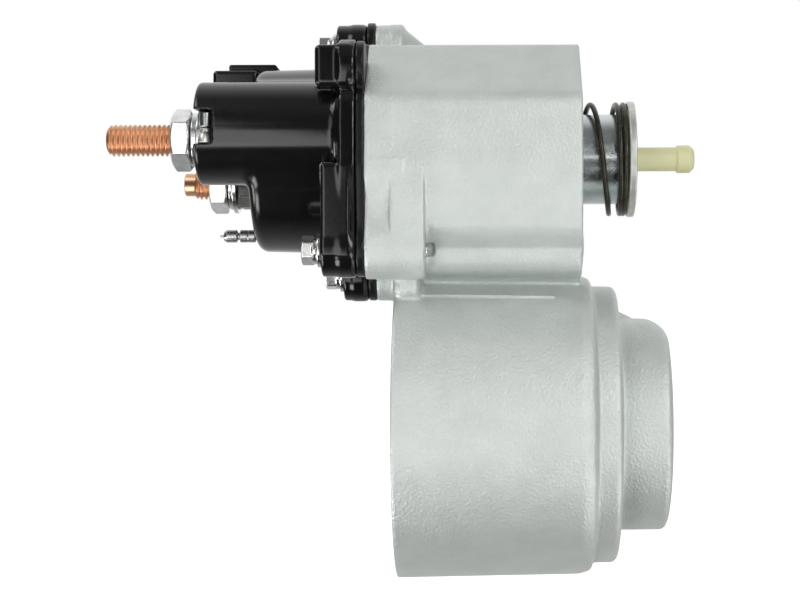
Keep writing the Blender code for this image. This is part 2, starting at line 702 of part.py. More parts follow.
def make_carrier():
    """Disc, three pins and the splined output stub in one piece."""
    carrier = turned(
        "planet_carrier",
        [
            (-21.9, 0), (-21.9, 27.0), (-16.3, 27.0), (-16.3, 12.5), (-5.2, 12.5),
            (-5.2, 9.4), (-0.8, 9.4), (0, 8.6), (0, 0),
        ],
        STEEL, steps=24,
    )
    for number, angle in enumerate(PLANET_ANGLES, 1):
        at = polar(CARRIER_R, angle)
        join(carrier, cylinder(f"planet_pin_{number}", -34.0, -20.0, PIN_R, at, segments=12))
    cut(carrier, cylinder("pilot_bore", -23.0, -15.0, 4.6, segments=20))
    for k in range(SPLINES):
        at = polar(SPLINE_CIRCLE_R, 2 * math.pi * k / SPLINES)
        cut(carrier, cylinder(f"spline_gap_{k}", -5.0, 1.0, SPLINE_GAP_R, at, segments=8))


def make_gearbox_rings():
    ring("gearbox_divider_plate", -36.7, -35.0, 9.0, MOTOR_FIT_R, STEEL, steps=28)
    ring("front_bush", -15.4, -7.0, 12.8, 17.0, BRONZE, steps=20)
    turned(
        "front_shaft_seal",
        [(-6.2, 13.0), (-6.2, 19.8), (-1.0, 19.8), (-1.0, 17.6), (-4.6, 17.6), (-4.6, 13.0)],
        RUBBER, steps=20,
    )


# ---------------------------------------------------------------- motor
SLOTS = 16  # in the armature core, and bars in the commutator
CORE_R, SLOT_ROOT_R = 29.8, 21.0
CORE_BORE_R = 7.45  # through the core and the commutator
WINDING_BORE_R, WINDING_R = 14.6, 28.2
BAR_SIZE, BAR_CENTRE = (27.0, 5.6, 1.9), (-55.0, 24.6, 0)  # x, radial, sideways
BRUSH_X = -75.6


def make_field():
    ring("motor_yoke_ring", -72.0, -37.0, 39.7, MOTOR_FIT_R, STEEL, steps=28)
    for number in range(4):
        middle = math.radians(45 + 90 * number)
        band = arc_band(middle, math.radians(35), inner=31.2, outer=39.3, steps=8)
        plate(f"field_magnet_{number + 1}", [band], -69.0, -41.0, FERRITE)


def make_armature():
    turned(
        "armature_shaft",
        [
            (-84.0, 0), (-84.0, 6.6), (-83.4, 7.0), (-34.6, 7.0), (-34.6, 4.15),
            (-17.2, 4.15), (-16.6, 3.6), (-16.6, 0),
        ],
        STEEL, steps=16,
    )
    half_pitch = math.pi / SLOTS
    tooth = [  # radius, angle
        (CORE_R, -half_pitch + 0.052), (CORE_R, 0.0), (CORE_R, half_pitch - 0.052),
        (SLOT_ROOT_R, half_pitch - 0.068), (SLOT_ROOT_R, half_pitch + 0.068),
    ]
    bore = circle(CORE_BORE_R, 16)
    plate("armature_core", [repeated(SLOTS, tooth), bore], -66.0, -44.0, LAMINATION)
    bar = [(14.0, -0.175), (14.0, 0.175), (13.3, 0.18), (13.3, 0.212)]  # radius, angle
    plate("commutator", [repeated(SLOTS, bar), bore], -79.0, -71.4, COPPER)


def winding_bars():
    """One straight bar of winding in each of the core's slots."""
    bars = bmesh.new()
    for k in range(SLOTS):
        turn = Matrix.Rotation(2 * math.pi * (k + 0.5) / SLOTS, 3, "X")
        verts = bmesh.ops.create_cube(bars, size=1.0)["verts"]
        bmesh.ops.scale(bars, verts=verts, vec=[size * MM for size in BAR_SIZE])
        bmesh.ops.translate(bars, verts=verts, vec=[place * MM for place in BAR_CENTRE])
        bmesh.ops.rotate(bars, verts=verts, matrix=turn)
    return finish("winding_bars", bars, None)


def make_winding():
    winding = turned(
        "armature_winding",
        [
            (-71.0, WINDING_BORE_R), (-71.0, 25.5), (-69.6, WINDING_R), (-66.5, WINDING_R),
            (-66.5, WINDING_BORE_R),
        ],
        ENAMEL, steps=16,
    )
    front = turned(
        "winding_front",
        [
            (-43.5, WINDING_BORE_R), (-43.5, WINDING_R), (-40.8, WINDING_R), (-39.4, 25.5),
            (-39.4, WINDING_BORE_R),
        ],
        steps=16,
    )
    join(winding, front, winding_bars())


def make_brush_gear():
    """A plate with a rim and four boxes open towards the armature, each with its brush."""
    holder = turned(
        "brush_holder",
        [(-80.7, 15.6), (-80.7, 43.4), (-72.3, 43.4), (-72.3, 40.9), (-79.2, 40.9),
         (-79.2, 15.6)],
        BOBBIN, steps=28,
    )
    # the coil is built along Z; this lays it along the brush's direction
    lay = Matrix.Translation((BRUSH_X * MM, 0, 0)) @ Matrix.Rotation(math.radians(-90), 4, "X")
    for k in range(4):
        turn = Matrix.Rotation(math.radians(45 + 90 * k), 4, "X")
        outer = box(f"brush_box_{k}", (-79.4, -72.0), (17.6, 38.0), span(0, 5.7))
        inner = box(f"brush_slot_{k}", (-79.0, -71.0), (16.0, 36.4), span(0, 4.25))
        brush = box(f"brush_{k + 1}", span(BRUSH_X, 3.0), (14.4, 27.0), span(0, 3.9), CARBON)
        for piece in (outer, inner, brush):
            piece.matrix_world = turn
        join(holder, outer)
        cut(holder, inner)
        spring = coil(
            f"brush_spring_{k + 1}", [(0.0, 27.9), (0.75, 28.6), (2.25, 34.8), (3.0, 35.6)],
            radius=2.2, wire_radius=0.35, per_turn=6, axis="Z",
        )
        spring.matrix_world = turn @ lay


def make_rear_end():
    """The rear cover with its bush, held by a snap ring open at the bottom."""
    turned(
        "rear_end_cover",
        [
            (-86.2, 0), (-86.2, 12.2), (-85.4, 13.0), (-84.0, 13.0), (-84.0, MOTOR_FIT_R),
            (-81.0, MOTOR_FIT_R), (-81.0, 13.0), (-79.5, 13.0), (-79.5, 9.9), (-84.7, 9.9),
            (-84.7, 0),
        ],
        CAST, steps=28,
    )
    ring("rear_bush", -84.5, -79.8, 7.25, 9.6, BRONZE, steps=20)
    band = arc_band(math.radians(90), math.radians(164), inner=41.4, outer=45.0, steps=30)
    plate("end_cover_snap_ring", [band], -85.45, -84.2, SPRING)


make_housing()
make_cover()
make_gasket()
make_studs()
make_collar()
make_signal_terminal()
make_connector()
make_bolts()
make_solenoid_coil()
make_plunger()
make_springs()
make_gears()
make_carrier()
make_gearbox_rings()
make_field()
make_armature()
make_winding()
make_brush_gear()
make_rear_end()
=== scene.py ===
"""Heavy-duty gear-reduction starter motor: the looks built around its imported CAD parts.

The motor axis is the X axis: the drive end (front) is towards +X, the terminals (rear) towards -X.
The solenoid lies parallel above it, and the camera looks from -Y, the near side.
Lengths in the geometry code are millimetres in the row frame; meshes are written in metres.
The castings and mouldings are distance fields, so their fillets and rounded edges are real
geometry. Turned parts, threads and springs are parametric meshes.
"""

import math

import bmesh
import bpy
import numpy as np
from mathutils import Matrix, Vector


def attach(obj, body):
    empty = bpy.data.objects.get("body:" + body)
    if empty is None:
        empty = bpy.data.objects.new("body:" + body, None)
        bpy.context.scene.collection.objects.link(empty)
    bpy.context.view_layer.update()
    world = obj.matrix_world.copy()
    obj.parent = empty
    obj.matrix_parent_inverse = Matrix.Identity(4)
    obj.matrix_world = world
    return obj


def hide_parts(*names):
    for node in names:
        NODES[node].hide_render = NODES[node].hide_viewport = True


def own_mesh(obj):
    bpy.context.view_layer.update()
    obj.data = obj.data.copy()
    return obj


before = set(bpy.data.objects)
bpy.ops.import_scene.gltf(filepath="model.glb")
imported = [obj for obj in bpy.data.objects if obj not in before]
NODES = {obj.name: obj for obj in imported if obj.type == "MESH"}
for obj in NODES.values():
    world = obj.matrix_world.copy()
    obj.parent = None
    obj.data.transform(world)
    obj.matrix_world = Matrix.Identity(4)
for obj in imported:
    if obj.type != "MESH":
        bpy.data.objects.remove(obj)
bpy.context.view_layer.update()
MM = 0.001
F = np.float32

# ---------------------------------------------------------------- shared dimensions
SOLENOID = 85.2  # height of the solenoid axis above the motor axis
MOTOR_AXIS = (0, 0)  # every axis and centre is (y, z)
SOLENOID_AXIS = (0, SOLENOID)
LOBES = {  # the flange's corner lobes
    "a": (-30.2, SOLENOID - 29.9),
    "b": (23.5, SOLENOID - 37.1),
    "c": (20.0, SOLENOID + 38.4),
    "d": (-30.8, SOLENOID + 26.2),
}
BOLTED = "abc"  # the lobes that take a bolt
BOSS_FACE = {"a": -108.1, "b": -105.8, "c": -107.6}  # x of the cover's bolt faces
BATTERY = (-20.0, SOLENOID + 4.7)
TOWER = (-20.0, SOLENOID + 6.7)
MOTOR_TERMINAL = (20.0, SOLENOID - 6.5)
SIGNAL = (-5.0, SOLENOID - 24.6)
CASTING_REAR = -94.8  # x of the casting's rear face
BOLT_CLEARANCE = 2.8  # radius of the bolt holes in cover and gasket
STUD_HOLE = 5.35


# ---------------------------------------------------------------- materials
def shader_tree(owner, clear=False):
    owner.use_nodes = True
    if clear:
        owner.node_tree.nodes.clear()
    return owner.node_tree.nodes, owner.node_tree.nodes.new, owner.node_tree.links.new


def shader(name, light, dark, metallic, rough, tone_scale, rough_vary=0.06, bump=0.0,
           bump_scale=1500.0, subsurface=0.0, stretch=(1.0, 1.0, 1.0), specular=0.5, rings=None):
    """A procedural finish: colour mottled between two tones, finer mottled roughness, bump grain.

    bump is the grain's height in mm; rings is (scale, colour) of thin rings along X.
    """
    mat = bpy.data.materials.new(name)
    nodes, node, link = shader_tree(mat)
    bsdf = nodes["Principled BSDF"]
    coords = node("ShaderNodeTexCoord")
    mapping = node("ShaderNodeMapping")
    mapping.inputs["Scale"].default_value = stretch
    link(coords.outputs["Object"], mapping.inputs["Vector"])

    def noise(scale, detail):
        texture = node("ShaderNodeTexNoise")
        texture.inputs["Scale"].default_value = scale
        texture.inputs["Detail"].default_value = detail
        link(mapping.outputs["Vector"], texture.inputs["Vector"])
        return texture

    tone = noise(tone_scale, 3.0)
    ramp = node("ShaderNodeValToRGB")
    for stop, position, colour in zip(ramp.color_ramp.elements, (0.35, 0.65), (dark, light)):
        stop.position = position
        stop.color = (*colour, 1)
    link(tone.outputs["Fac"], ramp.inputs["Fac"])
    colour_out = ramp.outputs["Color"]
    if rings:
        ring_scale, ring_colour = rings
        wave = node("ShaderNodeTexWave")
        wave.inputs["Scale"].default_value = ring_scale
        wave.bands_direction = "X"
        link(coords.outputs["Object"], wave.inputs["Vector"])
        mix = node("ShaderNodeMix")
        mix.data_type = "RGBA"
        mix.inputs["B"].default_value = (*ring_colour, 1)
        link(wave.outputs["Fac"], mix.inputs["Factor"])
        link(colour_out, mix.inputs["A"])
        colour_out = mix.outputs["Result"]
    link(colour_out, bsdf.inputs["Base Color"])

    fine = noise(tone_scale * 3.1, 2.0)
    spread = node("ShaderNodeMapRange")
    spread.inputs["To Min"].default_value = max(rough - rough_vary, 0.02)
    spread.inputs["To Max"].default_value = rough + rough_vary
    link(fine.outputs["Fac"], spread.inputs["Value"])
    link(spread.outputs["Result"], bsdf.inputs["Roughness"])
    bsdf.inputs["Metallic"].default_value = metallic
    bsdf.inputs["Specular IOR Level"].default_value = specular
    if subsurface:
        bsdf.inputs["Subsurface Weight"].default_value = subsurface
        bsdf.inputs["Subsurface Radius"].default_value = (0.004, 0.003, 0.0015)
        bsdf.inputs["Subsurface Scale"].default_value = 1.0
    if bump:
        grain = noise(bump_scale, 2.5)
        grain.inputs["Roughness"].default_value = 0.6
        relief = node("ShaderNodeBump")
        relief.inputs["Strength"].default_value = 1.0
        relief.inputs["Distance"].default_value = bump * MM
        link(grain.outputs["Fac"], relief.inputs["Height"])
        link(relief.outputs["Normal"], bsdf.inputs["Normal"])
    return mat


CAST = shader("cast_paint", light=(0.700, 0.740, 0.712), dark=(0.655, 0.695, 0.668),
              metallic=0.66, rough=0.48, tone_scale=110, rough_vary=0.04,
              bump=0.290, bump_scale=1150, specular=0.4)
BLACK = shader("black_moulding", light=(0.0068, 0.0076, 0.0070), dark=(0.0050, 0.0056, 0.0052),
               metallic=0.0, rough=0.155, tone_scale=160, rough_vary=0.025,
               bump=0.005, bump_scale=1100, specular=0.55)
RUBBER = shader("gasket_rubber", light=(0.0065, 0.007, 0.0065), dark=(0.0045, 0.005, 0.0045),
                metallic=0.0, rough=0.30, tone_scale=260,
                bump=0.012, bump_scale=1600, specular=0.35)
COPPER = shader("copper", light=(0.85, 0.53, 0.345), dark=(0.76, 0.44, 0.27),
                metallic=1.0, rough=0.34, tone_scale=140, rough_vary=0.02)
ZINC = shader("zinc_plate", light=(0.80, 0.80, 0.79), dark=(0.66, 0.68, 0.67),
              metallic=1.0, rough=0.20, tone_scale=330, rough_vary=0.07,
              bump=0.010, bump_scale=900)
DULL_ZINC = shader("dull_zinc", light=(0.63, 0.68, 0.675), dark=(0.56, 0.61, 0.605),
                   metallic=1.0, rough=0.25, tone_scale=240, rough_vary=0.07,
                   bump=0.012, bump_scale=500)
PALE_ZINC = shader("pale_zinc", light=(0.76, 0.765, 0.72), dark=(0.62, 0.63, 0.59),
                   metallic=0.85, rough=0.40, tone_scale=300, rough_vary=0.10,
                   bump=0.030, bump_scale=700)
STEEL = shader("machined_steel", light=(0.52, 0.53, 0.54), dark=(0.44, 0.45, 0.46),
               metallic=1.0, rough=0.30, tone_scale=240, bump=0.008, stretch=(6, 1, 1))
DARK_STEEL = shader("dark_steel", light=(0.20, 0.195, 0.19), dark=(0.14, 0.135, 0.13),
                    metallic=0.9, rough=0.45, tone_scale=300, rough_vary=0.08, bump=0.015)
SPRING = shader("oiled_spring", light=(0.075, 0.070, 0.056), dark=(0.048, 0.045, 0.036),
                metallic=0.80, rough=0.30, tone_scale=500, rough_vary=0.08,
                bump=0.010, bump_scale=2200)
NYLON = shader("natural_nylon", light=(0.77, 0.77, 0.475), dark=(0.73, 0.725, 0.43),
               metallic=0.0, rough=0.42, tone_scale=90, rough_vary=0.05,
               subsurface=0.35, bump=0.010, bump_scale=900)
BRONZE = shader("bronze", light=(0.56, 0.38, 0.20), dark=(0.46, 0.31, 0.16),
                metallic=0.95, rough=0.38, tone_scale=300, rough_vary=0.08, bump=0.012)
FERRITE = shader("ferrite", light=(0.050, 0.050, 0.054), dark=(0.035, 0.035, 0.038),
                 metallic=0.1, rough=0.62, tone_scale=300, rough_vary=0.08, bump=0.02)
CARBON = shader("carbon", light=(0.040, 0.036, 0.034), dark=(0.026, 0.024, 0.023),
                metallic=0.3, rough=0.50, tone_scale=500, rough_vary=0.08, bump=0.02)
LAMINATION = shader("lamination", light=(0.34, 0.34, 0.35), dark=(0.28, 0.28, 0.29),
                    metallic=0.9, rough=0.42, tone_scale=200, rough_vary=0.08, bump=0.010,
                    rings=(320, (0.16, 0.16, 0.17)))
ENAMEL = shader("enamelled_wire", light=(0.52, 0.19, 0.065), dark=(0.40, 0.135, 0.045),
                metallic=0.35, rough=0.30, tone_scale=300, rough_vary=0.08, bump=0.02,
                rings=(160, (0.20, 0.065, 0.025)))
BOBBIN = shader("bobbin_plastic", light=(0.060, 0.058, 0.052), dark=(0.045, 0.043, 0.038),
                metallic=0.0, rough=0.45, tone_scale=220, rough_vary=0.07, bump=0.012)


# ---------------------------------------------------------------- meshes and placing
def piece(name, mesh, mat, slot, body, *stands_for, sharp_angle=None):
    """An object of the mesh, riding on body and standing in for the named CAD nodes."""
    mesh.name = name
    obj = bpy.data.objects.new(name, mesh)
    bpy.context.scene.collection.objects.link(obj)
    mesh.materials.append(mat)
    mesh.shade_smooth()
    if sharp_angle:
        mesh.set_sharp_from_angle(angle=math.radians(sharp_angle))
    if stands_for:
        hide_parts(*stands_for)
    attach(obj, body)
    return obj


def mesh_from(verts, faces):
    """A mesh from points in mm, and either an array of quads or a list of mixed faces."""
    mesh = bpy.data.meshes.new("piece")
    verts = np.asarray(verts, F) * F(MM)
    if isinstance(faces, np.ndarray):
        mesh.vertices.add(len(verts))
        mesh.vertices.foreach_set("co", verts.ravel())
        mesh.loops.add(faces.size)
        mesh.loops.foreach_set("vertex_index", faces.astype(np.int32).ravel())
        mesh.polygons.add(len(faces))
        starts = (np.arange(len(faces)) * faces.shape[1]).astype(np.int32)
        mesh.polygons.foreach_set("loop_start", starts)
        mesh.update(calc_edges=True)
    else:
        mesh.from_pydata([tuple(map(float, v)) for v in verts], [], faces)
        mesh.update()
    return mesh


def write_outward(bm, mesh):
    """Write the bmesh to the mesh with its normals facing out."""
    bmesh.ops.recalc_face_normals(bm, faces=bm.faces)
    bm.to_mesh(mesh)
    bm.free()
    return mesh


def capped_tube(verts, rows, sides):
    """A tube of rows rings of points; the last two points close its ends."""
    faces = []
    for row in range(rows - 1):
        low, high = row * sides, (row + 1) * sides
        faces += [(low + s, low + (s + 1) % sides, high + (s + 1) % sides, high + s)
                  for s in range(sides)]
    first = rows * sides
    base = first - sides
    faces += [(first, (s + 1) % sides, s) for s in range(sides)]
    faces += [(first + 1, base + s, base + (s + 1) % sides) for s in range(sides)]
    mesh = mesh_from(verts, faces)
    bm = bmesh.new()
    bm.from_mesh(mesh)
    return write_outward(bm, mesh)


# ---------------------------------------------------------------- rounded outlines
def corner_arc(points, k, radius, steps, max_share, straight, support=False):
    """Corner k of a loop as an arc, or as it is where radius is 0 or the corner nearly straight.

    The arc takes at most max_share of either side. support adds a point beside each end of the
    arc, so that flat faces shade flat.
    """
    corner, before, after = (np.array(points[i % len(points)][:2], float)
                             for i in (k, k - 1, k + 1))
    back, ahead = before - corner, after - corner
    back_length, ahead_length = np.linalg.norm(back), np.linalg.norm(ahead)
    back, ahead = back / back_length, ahead / ahead_length
    half = math.acos(max(-1.0, min(1.0, float(back @ ahead)))) / 2
    if radius <= 0 or half > straight:
        return [tuple(corner)]
    trim = min(radius / math.tan(half), max_share * min(back_length, ahead_length))
    radius = trim * math.tan(half)
    centre = corner + (back + ahead) / np.linalg.norm(back + ahead) * radius / math.sin(half)
    start, end = corner + back * trim, corner + ahead * trim
    from_angle = math.atan2(*(start - centre)[::-1])
    to_angle = math.atan2(*(end - centre)[::-1])
    sweep = (to_angle - from_angle + math.pi) % (2 * math.pi) - math.pi
    arc = [(centre[0] + radius * math.cos(from_angle + sweep * i / steps),
            centre[1] + radius * math.sin(from_angle + sweep * i / steps))
           for i in range(steps + 1)]
    if support and back_length - trim > 0.12:
        arc.insert(0, tuple(start + back * 0.05))
    if support and ahead_length - trim > 0.12:
        arc.append(tuple(end + ahead * 0.05))
    return arc


def rounded(points, radii, steps=6):
    """The polygon with its corners turned into arcs; radii is one radius or one for each."""
    out = []
    for k in range(len(points)):
        radius = radii[k] if isinstance(radii, list) else radii
        out += corner_arc(points, k, radius, steps, max_share=0.49, straight=1.54)
    return out


def softened(profile, soft, closed):
    """A lathe profile of (x, radius[, rounding]) with its corners rounded, by soft if not given."""
    out = []
    for k, point in enumerate(profile):
        if not closed and k in (0, len(profile) - 1):
            out.append(point[:2])
            continue
        rounding = point[2] if len(point) > 2 else soft
        out += corner_arc(profile, k, rounding, 5, max_share=0.42, straight=1.5, support=True)
    return out


# ---------------------------------------------------------------- distance fields
def polygon(points, across, up):
    """Signed distance to a closed polygon."""
    across, up = np.broadcast_arrays(np.asarray(across, F), np.asarray(up, F))
    nearest = np.full(across.shape, 1e9, F)
    inside = np.zeros(across.shape, bool)
    for (across0, up0), (across1, up1) in zip(points, points[1:] + points[:1]):
        edge_a, edge_u = across1 - across0, up1 - up0
        off_a, off_u = across - F(across0), up - F(up0)
        length2 = F(edge_a * edge_a + edge_u * edge_u + 1e-12)
        share = np.clip((off_a * F(edge_a) + off_u * F(edge_u)) / length2, 0, 1)
        nearest = np.minimum(
            nearest, (off_a - share * F(edge_a)) ** 2 + (off_u - share * F(edge_u)) ** 2)
        if edge_u != 0:
            crosses = (up >= min(up0, up1)) & (up < max(up0, up1))
            inside ^= crosses & (off_a < off_u * F(edge_a / edge_u))
    nearest = np.sqrt(nearest)
    return np.where(inside, -nearest, nearest)


def radial(across, up, centre):
    """Distance from a line seen end on, at centre."""
    return np.sqrt((across - centre[0]) ** 2 + (up - centre[1]) ** 2)


def both(a, b, edge=0.0):
    """Intersection, with the edge rounded."""
    if edge <= 0:
        return np.maximum(a, b)
    a, b = a + edge, b + edge
    corner = np.sqrt(np.maximum(a, 0) ** 2 + np.maximum(b, 0) ** 2)
    return np.minimum(np.maximum(a, b), 0) + corner - edge


def blend(a, b, fillet):
    """Union with a fillet of about the given size."""
    if fillet <= 0:
        return np.minimum(a, b)
    h = np.maximum(fillet - np.abs(a - b), 0) / fillet
    return np.minimum(a, b) - h * h * (fillet * 0.25)


def carve(a, b, fillet=0.0):
    """a without b."""
    return -blend(-a, b, fillet)


def prism(outline, x, start, end, edge=0.0):
    """A field in the YZ plane, cut off at x = start and end."""
    return both(outline, np.abs(x - (start + end) / 2) - (end - start) / 2, edge)


def rod(x, y, z, start, end, radius, centre, edge=0.0, end_radius=None):
    """A cylinder along X, or a cone if it has an end radius."""
    off = radial(y, z, centre)
    if end_radius is not None:
        share = np.clip((x - start) / (end - start), 0, 1)
        return prism(off - (F(radius) + (F(end_radius) - F(radius)) * share), x, start, end, edge)
    return prism(off - radius, x, start, end, edge)


def block(x, y, z, low, high, edge):
    """A box from corner low to corner high, its edges rounded."""
    over_x, over_y, over_z = (
        np.abs(value - (high[i] + low[i]) / 2) - ((high[i] - low[i]) / 2 - edge)
        for i, value in enumerate((x, y, z)))
    outside = np.sqrt(np.maximum(over_x, 0) ** 2 + np.maximum(over_y, 0) ** 2
                      + np.maximum(over_z, 0) ** 2)
    return outside + np.minimum(np.maximum(over_x, np.maximum(over_y, over_z)), 0) - edge


def revolve(x, y, z, profile, centre, step=0.12):
    """A solid of revolution about X from a loop of (x, radius), read off a table of radii."""
    mirrored = list(profile) + [(px, -radius) for px, radius in reversed(profile) if radius > 1e-6]
    stations = np.asarray(x, F).reshape(-1)
    off = radial(y, z, centre).astype(F)
    table_radii = np.arange(0, float(off.max()) + 0.2, step, dtype=F)
    table = polygon(mirrored, stations[:, None], table_radii[None, :])
    position = off.reshape(-1) / F(step)
    low = np.minimum(position.astype(np.int32), len(table_radii) - 2)
    share = (position - low).astype(F)
    out = np.empty((len(stations), position.size), F)
    for k, row in enumerate(table):
        out[k] = row[low] * (1 - share) + row[low + 1] * share
    return out.reshape((len(stations),) + off.shape[1:])


def surface(field, low, high, cell):
    """A closed quad mesh of the field's zero level by surface nets, on a grid over low to high."""
    size = [int(math.ceil((high[i] - low[i]) / cell)) + 1 for i in range(3)]
    axes = [(low[i] + cell * np.arange(size[i])).astype(F) for i in range(3)]
    values = field(axes[0][:, None, None], axes[1][None, :, None], axes[2][None, None, :])
    values = np.broadcast_to(np.asarray(values, F), size)
    solid = values < 0

    # cells with corners on both sides of the surface hold one vertex each
    count = np.zeros([k - 1 for k in size], np.uint8)
    corners = [(a, b, c) for a in (0, 1) for b in (0, 1) for c in (0, 1)]
    for a, b, c in corners:
        count += solid[a:size[0] - 1 + a, b:size[1] - 1 + b, c:size[2] - 1 + c]
    active = (count > 0) & (count < 8)
    i, j, k = np.nonzero(active)
    index = np.full(active.shape, -1, np.int32)
    index[i, j, k] = np.arange(len(i), dtype=np.int32)

    # the vertex is the mean of the cell edges' crossings
    total = np.zeros((len(i), 3), F)
    hits = np.zeros(len(i), F)
    for near in corners:
        for axis in range(3):
            if near[axis]:
                continue
            far = list(near)
            far[axis] = 1
            at_near = values[i + near[0], j + near[1], k + near[2]]
            at_far = values[i + far[0], j + far[1], k + far[2]]
            crossed = (at_near < 0) != (at_far < 0)
            share = np.where(crossed, at_near / np.where(crossed, at_near - at_far, 1), 0)
            for c in range(3):
                along = share if c == axis else 0
                total[:, c] += np.where(crossed, F(near[c]) + along, 0)
            hits += crossed
    verts = total / hits[:, None] + np.stack([i, j, k], 1).astype(F)
    verts = verts * F(cell) + np.array(low, F)

    # each grid edge that crosses the surface is ringed by a quad
    quads = []
    for axis, (side, other) in enumerate(((1, 2), (2, 0), (0, 1))):
        here = [slice(1, -1)] * 3
        beyond = [slice(1, -1)] * 3
        here[axis], beyond[axis] = slice(0, -1), slice(1, None)
        change = np.stack(np.nonzero(solid[tuple(here)] != solid[tuple(beyond)]), 1)
        if not len(change):
            continue
        start = np.array([1, 1, 1])
        start[axis] = 0
        change = change + start
        ring = []
        for side_step, other_step in ((-1, -1), (0, -1), (0, 0), (-1, 0)):
            around = change.copy()
            around[:, side] += side_step
            around[:, other] += other_step
            ring.append(index[around[:, 0], around[:, 1], around[:, 2]])
        quad = np.stack(ring, 1)
        inward = ~solid[change[:, 0], change[:, 1], change[:, 2]]
        quad[inward] = quad[inward][:, ::-1]
        quads.append(quad)
    return mesh_from(verts, np.concatenate(quads))


# ---------------------------------------------------------------- turned parts
def lathe(profile, centre, segments=96, closed=False, soft=0.25, radius_at=None):
    """A solid of revolution about X. An open profile ends on the axis; a closed one is a ring."""
    bm = bmesh.new()
    rings = []
    for x, radius in softened(profile, soft, closed):
        if radius < 1e-6:
            rings.append([bm.verts.new((x * MM, centre[0] * MM, centre[1] * MM))])
            continue
        ring = []
        for s in range(segments):
            angle = 2 * math.pi * s / segments
            out = radius_at(x, radius, angle) if radius_at else radius
            y, z = centre[0] + out * math.cos(angle), centre[1] + out * math.sin(angle)
            ring.append(bm.verts.new((x * MM, y * MM, z * MM)))
        rings.append(ring)
    for a, b in zip(rings, rings[1:] + rings[:1] if closed else rings[1:]):
        for s in range(segments):
            t = (s + 1) % segments
            if len(a) == 1:
                bm.faces.new((a[0], b[s], b[t]))
            elif len(b) == 1:
                bm.faces.new((a[s], b[0], a[t]))
            else:
                bm.faces.new((a[s], b[s], b[t], a[t]))
    return write_outward(bm, bpy.data.meshes.new("piece"))


THREAD_CREST = 4.95
THREAD_DEPTH = 0.92
THREAD_PITCH = 1.5
THREAD_FADE = 0.7  # the length over which the thread runs out
STUD_SEGMENTS = 90
THREAD_STEP, PLAIN_STEP = 0.075, 4.0  # spacing of the rings with and without thread
HEAD_START, HEAD_LIMIT = -112.5, 25.0  # inside the cover, the heads stay within this radius


def thread_radius(x, angle, start, end):
    phase = ((x - start) / THREAD_PITCH + angle / (2 * math.pi)) % 1.0
    share = 0.5 - 0.5 * math.cos(2 * math.pi * phase)
    return THREAD_CREST - THREAD_DEPTH * share * min((end - x) / THREAD_FADE, 1.0)


def stud(outline, thread, centre):
    """A stud with an outline of (x, radius) and a helical thread over thread = (start, end)."""
    start, end = thread
    stations = []
    for (x0, r0), (x1, r1) in zip(outline, outline[1:]):
        run = x1 - x0
        step = THREAD_STEP if x0 < end and x1 > start else PLAIN_STEP
        count = max(1, int(math.ceil(run / step)))
        stations += [(x0 + run * i / count, r0 + (r1 - r0) * i / count) for i in range(count)]
    stations.append(outline[-1])
    verts = []
    for x, radius in stations:
        threaded = radius > THREAD_CREST - THREAD_DEPTH and start <= x <= end
        for s in range(STUD_SEGMENTS):
            angle = 2 * math.pi * s / STUD_SEGMENTS
            out = min(radius, thread_radius(x, angle, start, end)) if threaded else radius
            y, z = centre[0] + out * math.cos(angle), centre[1] + out * math.sin(angle)
            if x > HEAD_START:
                off = math.hypot(y, z - SOLENOID)
                if off > HEAD_LIMIT:
                    y = y * HEAD_LIMIT / off
                    z = SOLENOID + (z - SOLENOID) * HEAD_LIMIT / off
            verts.append((x, y, z))
    verts += [(stations[0][0], *centre), (stations[-1][0], *centre)]
    return capped_tube(verts, len(stations), STUD_SEGMENTS)


# ---------------------------------------------------------------- springs
WIRE_END = [(0.35, 0.94), (0.7, 0.71), (0.93, 0.37)]  # (distance out, radius), in wire radii


def spring(stations, radius, wire, place, per_turn=56, sides=14):
    """A coil along local X with rounded wire ends.

    stations are (turns, x), wire is the wire's radius, and place maps local points to the frame.
    """
    knots = np.array(stations, float)
    first, last = knots[0, 0], knots[-1, 0]
    turns = np.linspace(first, last, int(round((last - first) * per_turn)) + 1)
    height = np.interp(turns, knots[:, 0], knots[:, 1])

    # ease the changes of pitch over a quarter turn
    kernel = np.hanning(per_turn // 4 | 1)
    kernel /= kernel.sum()
    pad = len(kernel) // 2
    lead_in, lead_out = height[1] - height[0], height[-1] - height[-2]
    padded = np.concatenate([height[0] - lead_in * np.arange(pad, 0, -1), height,
                             height[-1] + lead_out * np.arange(1, pad + 1)])
    height = np.convolve(padded, kernel, "valid")

    angle = 2 * math.pi * turns
    path = np.stack([height, -radius * np.sin(angle), radius * np.cos(angle)], 1)
    tangent = np.gradient(path, axis=0)
    tangent /= np.linalg.norm(tangent, axis=1)[:, None]
    out = np.stack([np.zeros_like(angle), -np.sin(angle), np.cos(angle)], 1)
    side = np.cross(tangent, out)
    side /= np.linalg.norm(side, axis=1)[:, None]
    out = np.cross(side, tangent)

    # rings as (path point, shift along the wire, scale)
    order = [(0, -shift * wire, scale) for shift, scale in reversed(WIRE_END)]
    order += [(n, 0.0, 1.0) for n in range(len(path))]
    order += [(len(path) - 1, shift * wire, scale) for shift, scale in WIRE_END]
    around = 2 * math.pi * np.arange(sides) / sides
    rings = []
    for n, shift, scale in order:
        spokes = np.cos(around)[:, None] * out[n] + np.sin(around)[:, None] * side[n]
        rings.append(path[n] + tangent[n] * shift + wire * scale * spokes)
    tips = [[path[0] - tangent[0] * wire], [path[-1] + tangent[-1] * wire]]
    return capped_tube(place(np.concatenate(rings + tips)), len(order), sides)


